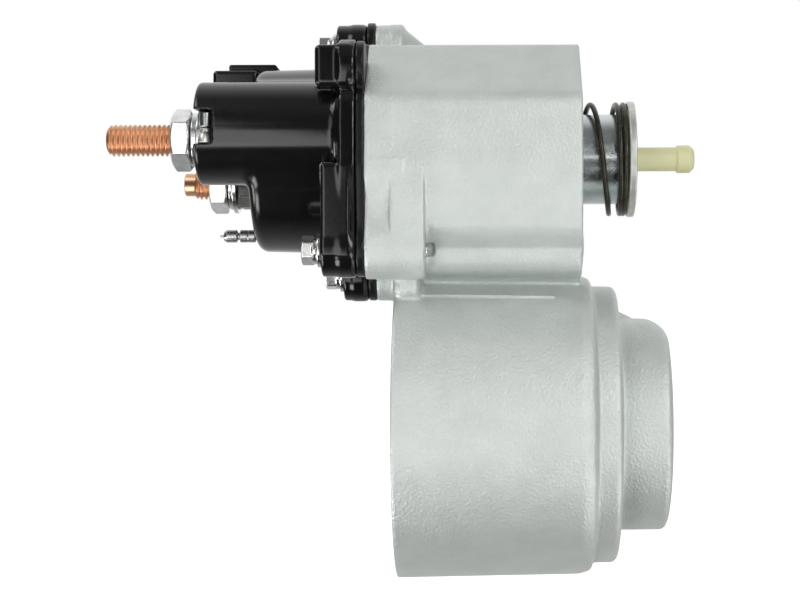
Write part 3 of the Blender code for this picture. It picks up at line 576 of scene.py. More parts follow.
def hex_points(node, centre, corner, behind=math.inf):
    """A hexagon turned like the CAD node's, found from the node's vertices at x < behind."""
    co = np.array([v.co for v in NODES[node].data.vertices]) / MM
    co = co[co[:, 0] < behind]
    off = np.stack([co[:, 1] - centre[0], co[:, 2] - centre[1]], 1)
    far = off[np.argmax(np.linalg.norm(off, axis=1).round(3))]
    turn = math.atan2(far[1], far[0])
    return [(centre[0] + corner * math.cos(turn + k * math.pi / 3),
             centre[1] + corner * math.sin(turn + k * math.pi / 3)) for k in range(6)]


# ---------------------------------------------------------------- the solenoid's section
# far half of the outline, from the top down: (y, height above the solenoid axis)
SECTION = [(14.5, 35.2), (37.2, 16.5), (38.4, -4.5), (36.2, -24.5), (29.5, -29.0), (22.0, -33.0)]
SECTION_ROUNDING = [4.0, 6.5, 3.5, 7.5, 2.0, 1.0]
LOBE_RADIUS = 8.15


def section(y, z, grow, steps):
    """The solenoid body's outline in the YZ plane, symmetrical about y = 0."""
    near = [(-(across + grow * 0.8), SOLENOID + height + grow * (0.6 if height > 0 else -0.6))
            for across, height in SECTION]
    outline = near + [(-across, height) for across, height in reversed(near)]
    return polygon(rounded(outline, SECTION_ROUNDING + SECTION_ROUNDING[::-1], steps), y, z)


def flange_outline(y, z, grow=0.0, lobes="abcd", inset=0.0):
    """The flange's outline with its lobes; inset pulls in the part between them."""
    outline = section(y, z, 0.3, 5) - (grow - inset)
    for lobe in lobes:
        outline = blend(outline, radial(y, z, LOBES[lobe]) - (LOBE_RADIUS + grow), 3.0)
    return outline


# ---------------------------------------------------------------- the casting
BARREL = [  # motor barrel and front boss: (x, radius)
    (-86.7, 0), (-86.7, 48.78), (-29.0, 47.8), (-25.3, 46.7), (-24.8, 44.3), (-17.1, 44.2),
    (-17.1, 34.0), (-1.2, 33.9), (-1.2, 0)]
BARREL_ROUNDING = [0, 0.5, 7.0, 2.2, 0.9, 2.0, 0.9, 2.2, 0]
MOTOR_CAVITY = [  # (x, radius)
    (-90.0, 0), (-90.0, 44.6), (-86.0, 44.0), (-85.6, 44.0), (-85.6, 45.4), (-84.1, 45.4),
    (-84.1, 44.0), (-27.0, 44.0), (-27.0, 40.3), (-18.7, 40.3), (-18.7, 29.0), (-15.7, 29.0),
    (-15.7, 17.25), (-6.5, 17.25), (-6.5, 20.1), (-1.9, 20.1), (1.0, 21.2), (3.0, 21.2), (3.0, 0)]
SOLENOID_CAVITY = [  # (x, radius)
    (-99.0, 0), (-99.0, 31.0), (-42.0, 31.0), (-42.0, 14.95), (-38.0, 14.95), (-38.0, 19.7),
    (-29.5, 19.7), (-26.0, 21.3), (-24.0, 21.3), (-24.0, 0)]
WEB = [  # web between solenoid and barrel: (y, z)
    (-27.6, SOLENOID - 24), (-27.6, SOLENOID - 33.5), (-16.5, SOLENOID - 40.5),
    (-16.5, SOLENOID - 52), (16.5, SOLENOID - 52), (16.5, SOLENOID - 40.5),
    (27.6, SOLENOID - 33.5), (27.6, SOLENOID - 24)]
WEB_ROUNDING = [0, 2, 2, 0, 0, 2, 2, 0]
PAD = [  # pad round bolt boss a: (y, z)
    (-20.0, SOLENOID - 1.0), (-38.1, SOLENOID - 1.0), (-38.95, SOLENOID - 14.0),
    (-39.05, LOBES["a"][1]), (-20.0, LOBES["a"][1])]
PAD_ROUNDING = [0, 0, 12.0, 1.0, 0]
SCREW_HOLE = 2.45
SCREW_HOLE_END = {"a": -74.0, "b": -81.5, "c": -81.5}


def barrel_field(x, y, z):
    barrel = revolve(x, y, z, rounded(BARREL, BARREL_ROUNDING), MOTOR_AXIS)
    # the boss's front edge is rounded off more at the top
    return carve(barrel, np.maximum(20.3 - (x + z) * 0.7071, -14.0 - x), 2.4)


def solenoid_body_field(x, y, z):
    """The solenoid's body with its rear flange and the web below it."""
    solid = prism(section(y, z, 0.0, 6), x, CASTING_REAR, -28.8, 0.45)
    flange = prism(flange_outline(y, z, lobes=BOLTED, inset=0.55), x, CASTING_REAR, -86.4, 0.4)
    solid = blend(solid, flange, 1.0)
    web = polygon(rounded(WEB, WEB_ROUNDING, 4), y, z)
    solid = blend(solid, prism(web, x, -84.8, -28.85, 0.5), 2.0)
    for side in (-1, 1):  # a round rib down each side of the web
        rib = rod(x, y, z, -84.0, -28.9, 6.5, (side * 22.3, SOLENOID - 31.2), 0.5)
        solid = blend(solid, rib, 1.6)
    return solid


def foot_on(solid, x, y, z):
    """Add a short foot under bolt boss a, with the mould's parting line."""
    foot = block(x, y, z, (-86.9, -29.2, SOLENOID - 44.6), (-78.2, -14.0, SOLENOID - 33.0), 2.8)
    line = block(x, y, z, (-82.75, -29.4, SOLENOID - 42.8), (-82.3, -20.0, SOLENOID - 35.5), 0.2)
    return blend(blend(solid, foot, 1.0), line, 0.3)


def ridges_on(solid, x, y, z):
    """Add the parting line's ridge where the web meets the barrel, near and far."""
    for side in (-1, 1):
        drop = (x + 60) * 0.012
        ridge = radial(y, z + drop, (side * 25.6, SOLENOID - 43.9)) - 0.5
        solid = blend(solid, both(ridge, np.abs(x + 60.0) - 22.8), 0.5)
    return solid


def bosses_on(solid, x, y, z):
    """Add the three bolt bosses."""
    # boss a: a proud pad with a rounded foot
    pad = prism(polygon(rounded(PAD, PAD_ROUNDING, 5), y, z), x, CASTING_REAR, -76.7, 0.35)
    pad = blend(pad, rod(x, y, z, CASTING_REAR, -76.8, 8.85, LOBES["a"], 0.35), 0.6)
    solid = blend(solid, pad, 0.4)
    # the thicker skin around it, ending in a faint step
    skin = block(x, y, z, (CASTING_REAR, -38.66, SOLENOID - 27.0),
                 (-82.8, -30.0, SOLENOID - 2.3), 0.2)
    solid = blend(solid, skin, 0.1)
    solid = blend(solid, rod(x, y, z, -90.0, -78.6, 8.1, LOBES["b"], 2.2), 2.0)
    # boss c tapers towards the front
    solid = blend(solid, rod(x, y, z, -90.0, -85.3, 8.1, LOBES["c"], 0.8), 1.0)
    return blend(solid, rod(x, y, z, -86.6, -78.4, 8.0, LOBES["c"], 0.8, end_radius=1.4), 1.0)


def housing_field(x, y, z):
    solid = foot_on(solenoid_body_field(x, y, z), x, y, z)
    solid = blend(solid, barrel_field(x, y, z), 1.8)
    solid = bosses_on(ridges_on(solid, x, y, z), x, y, z)
    # small gusset on top between the barrel's step and the front boss
    solid = blend(solid, rod(x, y, z, -18.6, -11.6, 6.5, (0, 31.2), 0.5, end_radius=3.1), 0.6)
    # the soft scoop beside bolt boss a
    scoop = radial(y, z, (-53.6, SOLENOID - 16.6)) - 17.0
    solid = carve(solid, both(scoop, x + 87.3, 0.15), 0.9)
    solid = carve(solid, revolve(x, y, z, MOTOR_CAVITY, MOTOR_AXIS), 0.25)
    solid = carve(solid, revolve(x, y, z, SOLENOID_CAVITY, SOLENOID_AXIS), 0.25)
    for lobe, end in SCREW_HOLE_END.items():
        solid = carve(solid, rod(x, y, z, -99.0, end, SCREW_HOLE, LOBES[lobe]))
    return solid


piece("housing_casting",
      surface(housing_field, (-96.4, -50.2, -50.2), (0.4, 50.2, 134.0), cell=0.55),
      CAST, "cast_aluminium", "housing", "main_housing")

# ---------------------------------------------------------------- the moulded cover
DOME = [(-131.5, 0), (-131.5, 29.0), (-96.0, 29.85), (-96.0, 0)]  # (x, radius)
DOME_ROUNDING = [0, 3.4, 0, 0]
CHAMBER = [(-112.5, 0), (-112.5, 25.5), (-94.0, 25.5), (-94.0, 0)]  # contact chamber, the same
BOSS_ROOT = -98.6


def cover_outside(x, y, z):
    flange = prism(flange_outline(y, z, grow=-0.15), x, -102.7, -97.6, 0.8)
    dome = revolve(x, y, z, rounded(DOME, DOME_ROUNDING), (0, SOLENOID - 0.4))
    solid = blend(flange, dome, 2.4)
    solid = blend(solid, rod(x, y, z, -147.0, -100.5, 15.95, TOWER, 1.2), 3.2)
    for lobe in BOLTED:
        solid = blend(solid, rod(x, y, z, BOSS_FACE[lobe], BOSS_ROOT, 8.1, LOBES[lobe], 0.8), 1.6)
    # lobe d is a squared boss that takes no bolt
    square = block(x, y, z, (-109.8, -37.4, SOLENOID + 19.6),
                   (BOSS_ROOT, -22.0, SOLENOID + 32.1), 1.6)
    solid = blend(solid, square, 1.6)
    # a flat pad above bolt boss a
    pad = block(x, y, z, (-108.05, -38.25, LOBES["a"][1] - 2), (-99.0, -24.0, SOLENOID - 3.8), 1.0)
    return blend(solid, pad, 1.0)


def cover_field(x, y, z):
    solid = cover_outside(x, y, z)
    solid = carve(solid, revolve(x, y, z, CHAMBER, SOLENOID_AXIS), 0.3)
    # the mouth round the battery stud, with a slot opening to the near side
    solid = carve(solid, rod(x, y, z, -151.0, -141.0, 10.9, BATTERY), 0.5)
    slot = block(x, y, z, (-152.0, -48.0, SOLENOID + 2.5),
                 (-141.2, BATTERY[0], SOLENOID + 12.9), 1.2)
    solid = carve(solid, slot, 0.7)
    # the terminals' holes
    solid = carve(solid, rod(x, y, z, -149.0, -108.0, STUD_HOLE, BATTERY))
    solid = carve(solid, rod(x, y, z, -140.0, -108.0, STUD_HOLE, MOTOR_TERMINAL), 0.4)
    solid = carve(solid, rod(x, y, z, -140.0, -108.0, 1.5, SIGNAL), 0.4)
    for lobe in BOLTED:
        solid = carve(solid, rod(x, y, z, -112.0, -96.0, BOLT_CLEARANCE, LOBES[lobe]))
    return solid


piece("cover_moulding",
      surface(cover_field, (-148.2, -40.2, 38.0), (-96.7, 47.6, 133.2), cell=0.34),
      BLACK, "black_moulding", "housing", "solenoid_cover")


# ---------------------------------------------------------------- the gasket
def gasket_field(x, y, z):
    outline = blend(flange_outline(y, z, lobes=BOLTED), radial(y, z, LOBES["d"]) - 7.6, 2.0)
    lip = radial(y, z, (20.0, SOLENOID + 39.0)) - 8.3
    solid = prism(blend(outline, lip, 1.0), x, -97.5, -94.86, 0.45)
    solid = carve(solid, radial(y, z, SOLENOID_AXIS) - 26.5)
    for lobe in BOLTED:
        solid = carve(solid, radial(y, z, LOBES[lobe]) - BOLT_CLEARANCE)
    return solid


piece("gasket", surface(gasket_field, (-98.3, -41.0, 38.0), (-94.0, 47.6, 134.0), cell=0.38),
      RUBBER, "black_rubber", "housing", "cover_gasket")

# ---------------------------------------------------------------- terminal studs
STUD_HEAD = [(-112.3, 4.9), (-112.2, 8.8), (-112.0, 9.0), (-107.3, 9.0), (-107.15, 8.8)]
BATTERY_STUD = [  # (x, radius), from the rear tip
    (-175.75, 2.9), (-175.62, 3.5), (-175.3, 3.95), (-174.35, THREAD_CREST),
    (-139.5, THREAD_CREST), (-139.5, 4.9)] + STUD_HEAD
MOTOR_STUD = [
    (-158.5, 3.45), (-158.2, 3.75), (-155.4, 3.75), (-155.1, 4.1), (-154.2, THREAD_CREST),
    (-142.0, THREAD_CREST), (-142.0, 4.9)] + STUD_HEAD

for name, outline, thread, centre in (
        ("battery", BATTERY_STUD, (-175.75, -140.0), BATTERY),
        ("motor", MOTOR_STUD, (-155.1, -143.0), MOTOR_TERMINAL)):
    piece(f"{name}_stud", stud(outline, thread, centre),
          COPPER, "copper", "housing", f"{name}_terminal_stud", sharp_angle=80)

# ---------------------------------------------------------------- terminal nuts and washers
NUT_THICKNESS = 6.3
NUT_CORNER = 9.78  # radius to the hexagon's corners
NUT_BORE = 4.98
NUT_MARGIN = 0.8  # of the grid round the nut
CHAMFER_SLOPE = math.tan(math.radians(30))
BATTERY_WASHERS = [  # (x, radius[, rounding])
    (-148.7, 5.2), (-148.7, 8.55), (-146.95, 8.55), (-146.95, 7.0, 0.1), (-146.75, 7.0, 0.1),
    (-146.75, 10.1), (-145.2, 10.1), (-145.2, 8.35), (-141.2, 8.35), (-141.2, 5.2)]
MOTOR_WASHERS = [
    (-143.3, 5.2), (-143.3, 8.35), (-142.25, 8.35), (-142.25, 7.0, 0.1), (-142.05, 7.0, 0.1),
    (-142.05, 9.55), (-140.65, 9.55), (-140.65, 5.2)]


def nut(name, node, rear, centre):
    """A hexagon nut with both faces chamfered and countersunk."""
    front = rear + NUT_THICKNESS
    outline = rounded(hex_points(node, centre, NUT_CORNER), 0.25, 3)
    chamfer_start = NUT_CORNER * math.cos(math.pi / 6) * 0.92

    def field(x, y, z):
        solid = prism(polygon(outline, y, z), x, rear, front, 0.12)
        off = radial(y, z, centre)
        for face, inward in ((rear, 1), (front, -1)):
            cone = ((off - chamfer_start) * CHAMFER_SLOPE - (x - face) * inward) * 0.866
            solid = both(solid, cone, 0.08)
        solid = carve(solid, off - NUT_BORE, 0.1)
        for face, inward in ((rear, 1), (front, -1)):
            sink = (off - (NUT_BORE + 0.75) + (x - face) * inward) * 0.707
            solid = carve(solid, sink, 0.05)
        return solid

    low = (rear - NUT_MARGIN, *(c - NUT_CORNER - NUT_MARGIN for c in centre))
    high = (front + NUT_MARGIN, *(c + NUT_CORNER + NUT_MARGIN for c in centre))
    piece(name, surface(field, low, high, cell=0.15), ZINC, "zinc_plate", "housing", node)


nut("battery_nut", "battery_terminal_nut", -155.3, BATTERY)
nut("motor_nut", "motor_terminal_nut", -149.9, MOTOR_TERMINAL)

for name, profile, centre in (("battery", BATTERY_WASHERS, BATTERY),
                              ("motor", MOTOR_WASHERS, MOTOR_TERMINAL)):
    piece(f"{name}_washers", lathe(profile, centre, closed=True, soft=0.22),
          ZINC, "zinc_plate", "housing", f"{name}_terminal_washer")

# ---------------------------------------------------------------- key and post in the slot
KEY_BASE = SOLENOID + 2.7
KEY_CENTRE = (-143.6, -33.1)  # (x, y)
KEY_RADII = (2.1, 2.8, 3.6)  # half axes of the dome along x, y and z


def key_field(x, y, z):
    """A domed key on a short upright stem, standing in the cover's slot."""
    share = np.sqrt(((x - KEY_CENTRE[0]) / KEY_RADII[0]) ** 2
                    + ((y - KEY_CENTRE[1]) / KEY_RADII[1]) ** 2
                    + ((z - KEY_BASE) / KEY_RADII[2]) ** 2)
    dome = both((share - 1) * KEY_RADII[0], KEY_BASE - z, 0.2)
    stem = radial(x, y, (-143.5, -31.0)) - 1.8
    return blend(dome, both(stem, np.abs(z - (SOLENOID + 5.2)) - 2.2, 0.4), 0.2)


def post_field(x, y, z):
    """A dull upright filling the upper half of the slot."""
    post = radial(x, y, (-143.45, -31.3)) - 1.95
    return both(post, np.abs(z - (SOLENOID + 9.95)) - 2.35, 0.5)


piece("terminal_key", surface(key_field, (-146.3, -36.6, SOLENOID + 2.1),
                              (-141.0, -28.6, SOLENOID + 8.0), cell=0.13),
      PALE_ZINC, "zinc_plate", "housing")
piece("terminal_post", surface(post_field, (-145.9, -33.8, SOLENOID + 7.1),
                               (-141.0, -28.8, SOLENOID + 12.8), cell=0.13),
      STEEL, "machined_steel", "housing")

# ---------------------------------------------------------------- motor terminal's collar
COLLAR_HALF = 7.85


def collar_field(x, y, z):
    """A square collar with a tab on its near side."""
    cy, cz = MOTOR_TERMINAL
    solid = block(x, y, z, (-140.3, cy - COLLAR_HALF, cz - COLLAR_HALF),
                  (-131.9, cy + COLLAR_HALF, cz + COLLAR_HALF), 0.5)
    tab = block(x, y, z, (-139.8, cy - 9.5, cz - 4.2), (-132.5, cy - 6.5, cz - 1.2), 0.4)
    return carve(blend(solid, tab, 0.4), radial(y, z, MOTOR_TERMINAL) - 5.1, 0.2)


piece("motor_collar", surface(collar_field, (-143.0, 10.0, 69.8), (-131.2, 28.8, 87.6), cell=0.2),
      DARK_STEEL, "machined_steel", "housing", "motor_terminal_collar")

# ---------------------------------------------------------------- signal terminal
BULLET = [  # (x, radius[, rounding])
    (-143.3, 0), (-143.2, 0.32, 0.1), (-142.2, 0.42, 0.05), (-141.85, 1.45), (-141.0, 1.98),
    (-137.9, 1.98), (-137.45, 1.15, 0.15), (-137.0, 1.15, 0.15), (-136.7, 1.98), (-134.5, 1.98),
    (-134.3, 1.85, 0.05), (-134.1, 1.98), (-132.0, 1.98), (-131.9, 1.2), (-118.0, 1.2),
    (-118.0, 0)]
piece("signal_bullet", lathe(BULLET, SIGNAL, segments=48, soft=0.18),
      STEEL, "zinc_plate", "housing", "signal_terminal")


# ---------------------------------------------------------------- control connector
def connector_field(x, y, z):
    """A square shell open to the rear, with a latch on top."""
    shell = block(x, y, z, (-146.5, 1.05, SOLENOID + 13.45), (-131.95, 16.95, SOLENOID + 29.35),
                  1.3)
    latch = block(x, y, z, (-141.8, 4.6, SOLENOID + 27.5), (-125.0, 13.4, SOLENOID + 31.65), 0.7)
    slope = (x + 125.0) * 0.8 + (z - (SOLENOID + 29.4)) * 0.6
    solid = blend(shell, both(latch, slope, 0.3), 0.5)
    mouth = block(x, y, z, (-150.0, 2.8, SOLENOID + 15.2), (-134.0, 15.2, SOLENOID + 27.4), 0.8)
    solid = carve(solid, mouth, 0.3)
    under = block(x, y, z, (-129.9, 2.0, SOLENOID + 20.0), (-120.0, 16.0, SOLENOID + 28.95), 0.4)
    solid = carve(solid, under)
    return carve(solid, rod(x, y, z, -138.0, -130.0, 1.35, (9.0, SOLENOID + 21.3)))


piece("connector_shell", surface(connector_field, (-147.2, 0.2, SOLENOID + 12.6),
                                 (-124.2, 17.8, SOLENOID + 32.2), cell=0.24),
      BLACK, "black_moulding", "housing", "control_connector")

# ---------------------------------------------------------------- cover bolts
BOLT_HEAD = 6.05  # height of the head above its seat
BOLT_CORNER = 4.6
BOLT_SHANK = 2.08
BOLT_PITCH = 0.9
BOLT_THREAD = 6.5  # length of thread at the tip
BOLT_POINT = 1.5  # length of the tapered point
BOLT_ROOM = 6.0  # half width of the grid


def cover_bolt(node, number, lobe, tip):
    centre = LOBES[lobe]
    seat = BOSS_FACE[lobe] - 0.2
    outline = rounded(hex_points(node, centre, BOLT_CORNER, behind=seat - 5.9), 0.3, 3)

    def field(x, y, z):
        off = radial(y, z, centre)
        solid = prism(polygon(outline, y, z), x, seat - BOLT_HEAD, seat - 2.3, 0.2)
        chamfer = ((off - 3.95) * 0.577 - (x - (seat - BOLT_HEAD))) * 0.866
        solid = both(solid, chamfer, 0.1)
        # a neck under the hexagon, then the washer
        solid = np.minimum(solid, prism(off - 4.28, x, seat - 2.7, seat - 1.25, 0.25))
        solid = np.minimum(solid, prism(off - 5.25, x, seat - 1.2, seat - 0.02, 0.22))
        angle = np.arctan2(z - centre[1], y - centre[0])
        wave = 0.16 * np.cos(math.tau * (x / BOLT_PITCH) + angle)
        wave = np.where(x > F(tip - BOLT_THREAD), wave, 0)
        point = np.clip((x - (tip - BOLT_POINT)) / BOLT_POINT, 0, 1) * 1.05
        shank = off - (BOLT_SHANK - point + np.minimum(wave, 0))
        return np.minimum(solid, prism(shank, x, seat - 1.5, tip, 0.3))

    low = (seat - 6.7, centre[0] - BOLT_ROOM, centre[1] - BOLT_ROOM)
    high = (tip + 0.6, centre[0] + BOLT_ROOM, centre[1] + BOLT_ROOM)
    piece(f"bolt_{number}", surface(field, low, high, cell=0.17),
          ZINC, "zinc_plate", "housing", node)


for number, lobe, tip in ((1, "a", -75.4), (2, "b", -82.5), (3, "c", -82.5)):
    cover_bolt(f"cover_bolt_{number}", number, lobe, tip)

# ---------------------------------------------------------------- plunger, seat disc, link rod
# profiles are (x, radius[, rounding])
PLUNGER = [
    (-62.2, 2.6), (-62.2, 12.6), (-60.4, 14.4), (-13.7, 14.4), (-13.7, 9.6), (-49.8, 9.6),
    (-49.8, 6.0), (-54.0, 6.0), (-54.0, 2.6)]
SEAT_DISC = [
    (-13.4, 4.3), (-13.4, 14.2, 0.15), (-13.2, 14.6, 0.15), (-13.2, 18.55, 0.7),
    (-10.8, 18.55, 0.5), (-10.8, 12.2, 0.2), (-11.1, 11.9, 0.2), (-11.1, 4.3)]
LINK_ROD = [
    (-48.4, 0), (-48.4, 8.2), (-46.0, 8.2), (-46.0, 3.87), (-12.0, 3.84), (-4.0, 3.84, 0),
    (3.0, 3.84, 0.4), (3.25, 4.45, 0.35), (7.3, 4.45, 1.5), (8.75, 3.0, 1.2), (8.75, 0)]


def mould_line(x, radius, angle):
    """The link rod's radius, raised a little along two opposite parting lines."""
    if x < -12 or radius < 2:
        return radius
    off = abs(((angle + 0.35) % math.pi + math.pi / 2) % math.pi - math.pi / 2)
    return radius + 0.05 * max(0.0, 1 - off / 0.12)


piece("plunger_body_turned", lathe(PLUNGER, SOLENOID_AXIS, 128, closed=True, soft=0.4),
      DULL_ZINC, "zinc_plate", "plunger_body", "plunger")
piece("seat_disc", lathe(SEAT_DISC, SOLENOID_AXIS, 128, closed=True),
      PALE_ZINC, "zinc_plate", "plunger_body", "spring_seat_disc")
piece("link_rod_moulded", lathe(LINK_ROD, SOLENOID_AXIS, soft=0.4, radius_at=mould_line),
      NYLON, "nylon", "link_rod_body", "link_rod")

# ---------------------------------------------------------------- the solenoid's springs
# stations are (turns, x in mm)
RETURN_STATIONS = [
    (-2.0, -37.2), (-1.0, -35.6), (0.0, -24.9), (0.5, -18.6), (1.0, -16.6), (1.5, -15.2),
    (2.0, -14.25), (2.5, -14.2)]
ENGAGEMENT_STATIONS = [(0.0, -44.8), (1.0, -42.6), (5.0, -17.0), (6.0, -14.8)]
CONTACT_STATIONS = [(0.0, -95.4), (0.75, -94.2), (3.25, -88.2), (4.0, -87.0)]


def solenoid_spring(kind, stations, radius, wire, body, per_turn=56):
    """A coil on the solenoid axis, riding on body."""
    coil = spring(stations, radius, wire, lambda points: points + np.array([0, 0, SOLENOID]),
                  per_turn)
    obj = piece(f"{kind}_coil", coil, SPRING, "spring_steel", body, f"{kind}_spring")
    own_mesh(obj)


solenoid_spring("return", RETURN_STATIONS, radius=17.5, wire=0.84, body="housing",
                per_turn=64)
solenoid_spring("engagement", ENGAGEMENT_STATIONS, radius=6.7, wire=0.85, body="plunger_body")
solenoid_spring("contact", CONTACT_STATIONS, radius=5.0, wire=0.6, body="plunger_body")

# ---------------------------------------------------------------- brush springs
BRUSH_CENTRE = np.array([-75.6, 0, 0])
BRUSH_STATIONS = [(0.0, 28.0), (0.75, 28.7), (2.25, 34.7), (3.0, 35.5)]  # (turns, radius)


def brush_spring(number, node):
    """A small coil pointing out from the motor axis, one at each diagonal."""
    theta = math.radians(45 + 90 * (number - 1))
    along = np.array([0, math.cos(theta), math.sin(theta)])
    side = np.array([0, -math.sin(theta), math.cos(theta)])
    lead = np.array([1.0, 0, 0])

    def place(points):
        turned = points[:, :1] * along + points[:, 1:2] * side + points[:, 2:3] * lead
        return turned + BRUSH_CENTRE

    coil = spring(BRUSH_STATIONS, 2.2, 0.35, place, per_turn=32, sides=8)
    obj = piece(f"brush_coil_{number}", coil, SPRING, "spring_steel", "housing", node)
    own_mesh(obj)


for number in range(1, 5):
    if f"brush_spring_{number}" in NODES:
        brush_spring(number, f"brush_spring_{number}")

# ---------------------------------------------------------------- the motor's ends
END_COVER = [  # (x, radius[, rounding])
    (-86.2, 0), (-86.2, 12.2, 0.8), (-84.9, 13.0, 0.5), (-84.0, 13.6, 0.5), (-84.0, 21.0, 0.6),
    (-84.9, 22.6, 0.8), (-84.9, 33.0, 0.8), (-84.0, 34.6, 0.6), (-84.0, 43.55), (-81.0, 43.55),
    (-81.0, 13.0), (-79.5, 13.0), (-79.5, 9.9), (-84.7, 9.9), (-84.7, 0)]
SHAFT_SEAL = [
    (-6.2, 13.0), (-6.2, 19.75), (-1.1, 19.75), (-1.1, 18.2, 0.3), (-2.0, 17.6, 0.2),
    (-4.2, 17.4), (-4.4, 15.0, 0.4), (-2.6, 13.6, 0.3), (-3.2, 12.95, 0.2), (-5.0, 13.0)]
piece("end_cover_pressed", lathe(END_COVER, MOTOR_AXIS, 128, soft=0.35),
      CAST, "cast_aluminium", "housing", "rear_end_cover")
piece("shaft_seal", lathe(SHAFT_SEAL, MOTOR_AXIS, closed=True),
      RUBBER, "black_rubber", "housing", "front_shaft_seal")

# ---------------------------------------------------------------- carried-over CAD nodes
NODE_MATERIALS = [  # the first key found in the node's name wins
    ("winding", ENAMEL), ("armature_core", LAMINATION), ("commutator", COPPER),
    ("contact_disc", COPPER), ("magnet", FERRITE), ("brush_holder", BOBBIN), ("bobbin", BOBBIN),
    ("spring", SPRING), ("snap_ring", SPRING), ("bush", BRONZE), ("brush_", CARBON),
    ("contact_rod", BRONZE), ("pin", ZINC), ("seal", RUBBER), ("gasket", RUBBER),
]


def node_material(name):
    if name.startswith("planet"):
        return STEEL
    return next((mat for key, mat in NODE_MATERIALS if key in name), STEEL)


for name, node in NODES.items():
    node.data.materials.clear()
    node.data.materials.append(node_material(name))

# ---------------------------------------------------------------- colour management
scene = bpy.context.scene
scene.view_settings.view_transform = "Standard"
scene.view_settings.look = "None"
scene.view_settings.exposure = 0.0
scene.view_settings.gamma = 1.0

# ---------------------------------------------------------------- world
WHITE = (1, 1, 1, 1)
ROOM = [  # lobes of light: direction, the cosines where it starts and is full, strength
    ((0, 0.8, 0.6), 0.3, 1.0, 0.631),
    ((0, 1, 0), 0.0, 1.0, 0.250),
    ((0, 0.8, -0.6), 0.3, 1.0, 0.309),
    ((0, 0, 1), 0.2, 1.0, 0.196),
    ((1, 0, 0), 0.3, 1.0, 0.30),
]


def build_world():
    """White to the camera; otherwise a room bright behind the object, dim on the camera's side."""
    world = bpy.data.worlds.new("studio")
    scene.world = world
    _, node, link = shader_tree(world, clear=True)
    path = node("ShaderNodeLightPath")
    coords = node("ShaderNodeTexCoord")
    total = None
    for direction, start, full, strength in ROOM:
        toward = node("ShaderNodeVectorMath")
        toward.operation = "DOT_PRODUCT"
        toward.inputs[1].default_value = direction
        link(coords.outputs["Generated"], toward.inputs[0])
        lobe = node("ShaderNodeMapRange")
        lobe.interpolation_type = "SMOOTHERSTEP"
        lobe.inputs["From Min"].default_value = start
        lobe.inputs["From Max"].default_value = full
        lobe.inputs["To Max"].default_value = strength
        link(toward.outputs["Value"], lobe.inputs["Value"])
        if total is None:
            total = lobe.outputs["Result"]
        else:
            plus = node("ShaderNodeMath")
            link(total, plus.inputs[0])
            link(lobe.outputs["Result"], plus.inputs[1])
            total = plus.outputs["Value"]
    room = node("ShaderNodeBackground")
    room.inputs["Color"].default_value = WHITE
    link(total, room.inputs["Strength"])
    plain = node("ShaderNodeBackground")
    plain.inputs["Color"].default_value = WHITE
    plain.inputs["Strength"].default_value = 1.0
    mixer = node("ShaderNodeMixShader")
    link(path.outputs["Is Camera Ray"], mixer.inputs["Fac"])
    link(room.outputs["Background"], mixer.inputs[1])
    link(plain.outputs["Background"], mixer.inputs[2])
    output = node("ShaderNodeOutputWorld")
    link(mixer.outputs["Shader"], output.inputs["Surface"])


build_world()

# ---------------------------------------------------------------- floor (metres from here on)
FLOOR_Z = -0.0492
FLOOR_HALF = 30
FLOOR_GLOW = 0.90


def floor_material():
    """A pale sheet: mostly its own glow, with a faintly mottled matte for the contact shadow."""
    mat = bpy.data.materials.new("pale_floor")
    _, node, link = shader_tree(mat, clear=True)
    glow = node("ShaderNodeEmission")
    glow.inputs["Color"].default_value = WHITE
    glow.inputs["Strength"].default_value = FLOOR_GLOW
    matte = node("ShaderNodeBsdfDiffuse")
    grain = node("ShaderNodeTexNoise")
    grain.inputs["Scale"].default_value = 9.0
    tint = node("ShaderNodeValToRGB")
    tint.color_ramp.elements[0].color = (0.78, 0.78, 0.78, 1)
    tint.color_ramp.elements[1].color = (0.82, 0.82, 0.82, 1)
    link(grain.outputs["Fac"], tint.inputs["Fac"])
    link(tint.outputs["Color"], matte.inputs["Color"])
    add = node("ShaderNodeAddShader")
    link(glow.outputs["Emission"], add.inputs[0])
    link(matte.outputs["BSDF"], add.inputs[1])
    output = node("ShaderNodeOutputMaterial")
    link(add.outputs["Shader"], output.inputs["Surface"])
    return mat


def build_floor():
    mat = floor_material()
    mesh = bpy.data.meshes.new("floor")
    corners = [(FLOOR_HALF * x, FLOOR_HALF * y, FLOOR_Z)
               for x, y in ((-1, -1), (1, -1), (1, 1), (-1, 1))]
    mesh.from_pydata(corners, [], [(0, 1, 2, 3)])
    floor = bpy.data.objects.new("floor", mesh)
    mesh.materials.append(mat)
    scene.collection.objects.link(floor)
    floor.visible_glossy = False
    floor.visible_diffuse = False
    floor.visible_shadow = False
    floor.visible_transmission = False


build_floor()

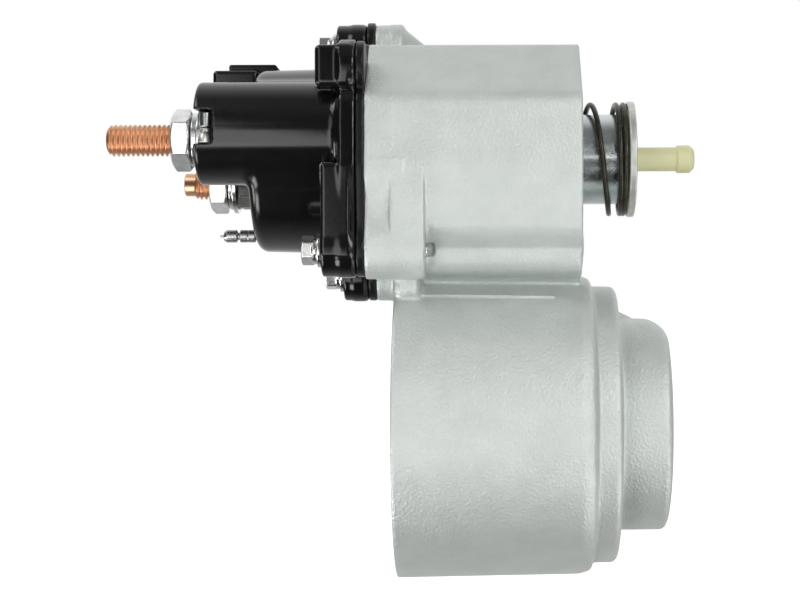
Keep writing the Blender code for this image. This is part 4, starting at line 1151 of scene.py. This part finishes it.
# ---------------------------------------------------------------- lights
BOXES = [  # softboxes: azimuth from the camera's side, elevation (degrees), share of full power
    (-75, -45, 0.050), (-50, -45, 0.468), (50, -45, 0.156), (75, -45, 0.180), (-75, -22, 0.436),
    (-28, -22, 0.065), (28, -22, 0.312), (28, 0, 0.035), (-28, 22, 0.093), (28, 22, 0.418),
    (-75, 48, 0.232), (-50, 48, 0.233), (50, 48, 0.126),
]
BOX_AIM = Vector((-0.06, 0, 0.04))
BOX_DISTANCE = 0.85
FULL_POWER = 4.0  # watts


def softbox(name, place, aim, width, height, power):
    data = bpy.data.lights.new(name, "AREA")
    data.shape = "RECTANGLE"
    data.size, data.size_y = width, height
    data.energy = power
    light = bpy.data.objects.new(name, data)
    light.location = place
    facing = Vector(aim) - Vector(place)
    light.rotation_euler = facing.to_track_quat("-Z", "Z").to_euler()
    light.visible_camera = False
    scene.collection.objects.link(light)


for azimuth, elevation, share in BOXES:
    turn, rise = math.radians(azimuth), math.radians(elevation)
    toward = Vector((math.sin(turn) * math.cos(rise), -math.cos(turn) * math.cos(rise),
                     math.sin(rise)))
    softbox(f"box_{azimuth}_{elevation}", BOX_AIM + BOX_DISTANCE * toward, BOX_AIM,
            width=0.34, height=0.30, power=FULL_POWER * share)
softbox("strip", place=(-0.240, -0.55, -0.060), aim=(-0.150, 0.0, 0.085),
        width=0.19, height=0.36, power=FULL_POWER * 0.126)
# two small cards, mirrored by the terminal nuts' near flats and by the plunger
softbox("nut_card", place=(-0.270, -0.55, 0.150), aim=(-0.152, 0.0, 0.090),
        width=0.11, height=0.10, power=0.060)
softbox("plunger_card", place=(0.035, -0.55, 0.105), aim=(0.0, 0.0, 0.085),
        width=0.05, height=0.05, power=0.045)

# ---------------------------------------------------------------- camera
CAMERA_PLACE = (-0.05645, -0.5613, 0.040)
CAMERA_YAW = -0.18  # degrees, a slight turn towards +X

camera_data = bpy.data.cameras.new("camera")
camera_data.sensor_width = 36.0
camera_data.lens = 78.3
camera_data.shift_x = -0.115
camera_data.clip_start = 0.01
camera = bpy.data.objects.new("camera", camera_data)
camera.location = CAMERA_PLACE
level = Matrix.Rotation(math.radians(90), 3, "X")
yaw = Matrix.Rotation(math.radians(CAMERA_YAW), 3, "Z")
# the yaw comes first, about the lens axis, so it shows as a slight roll
camera.rotation_euler = (level @ yaw).to_euler()
scene.collection.objects.link(camera)
scene.camera = camera
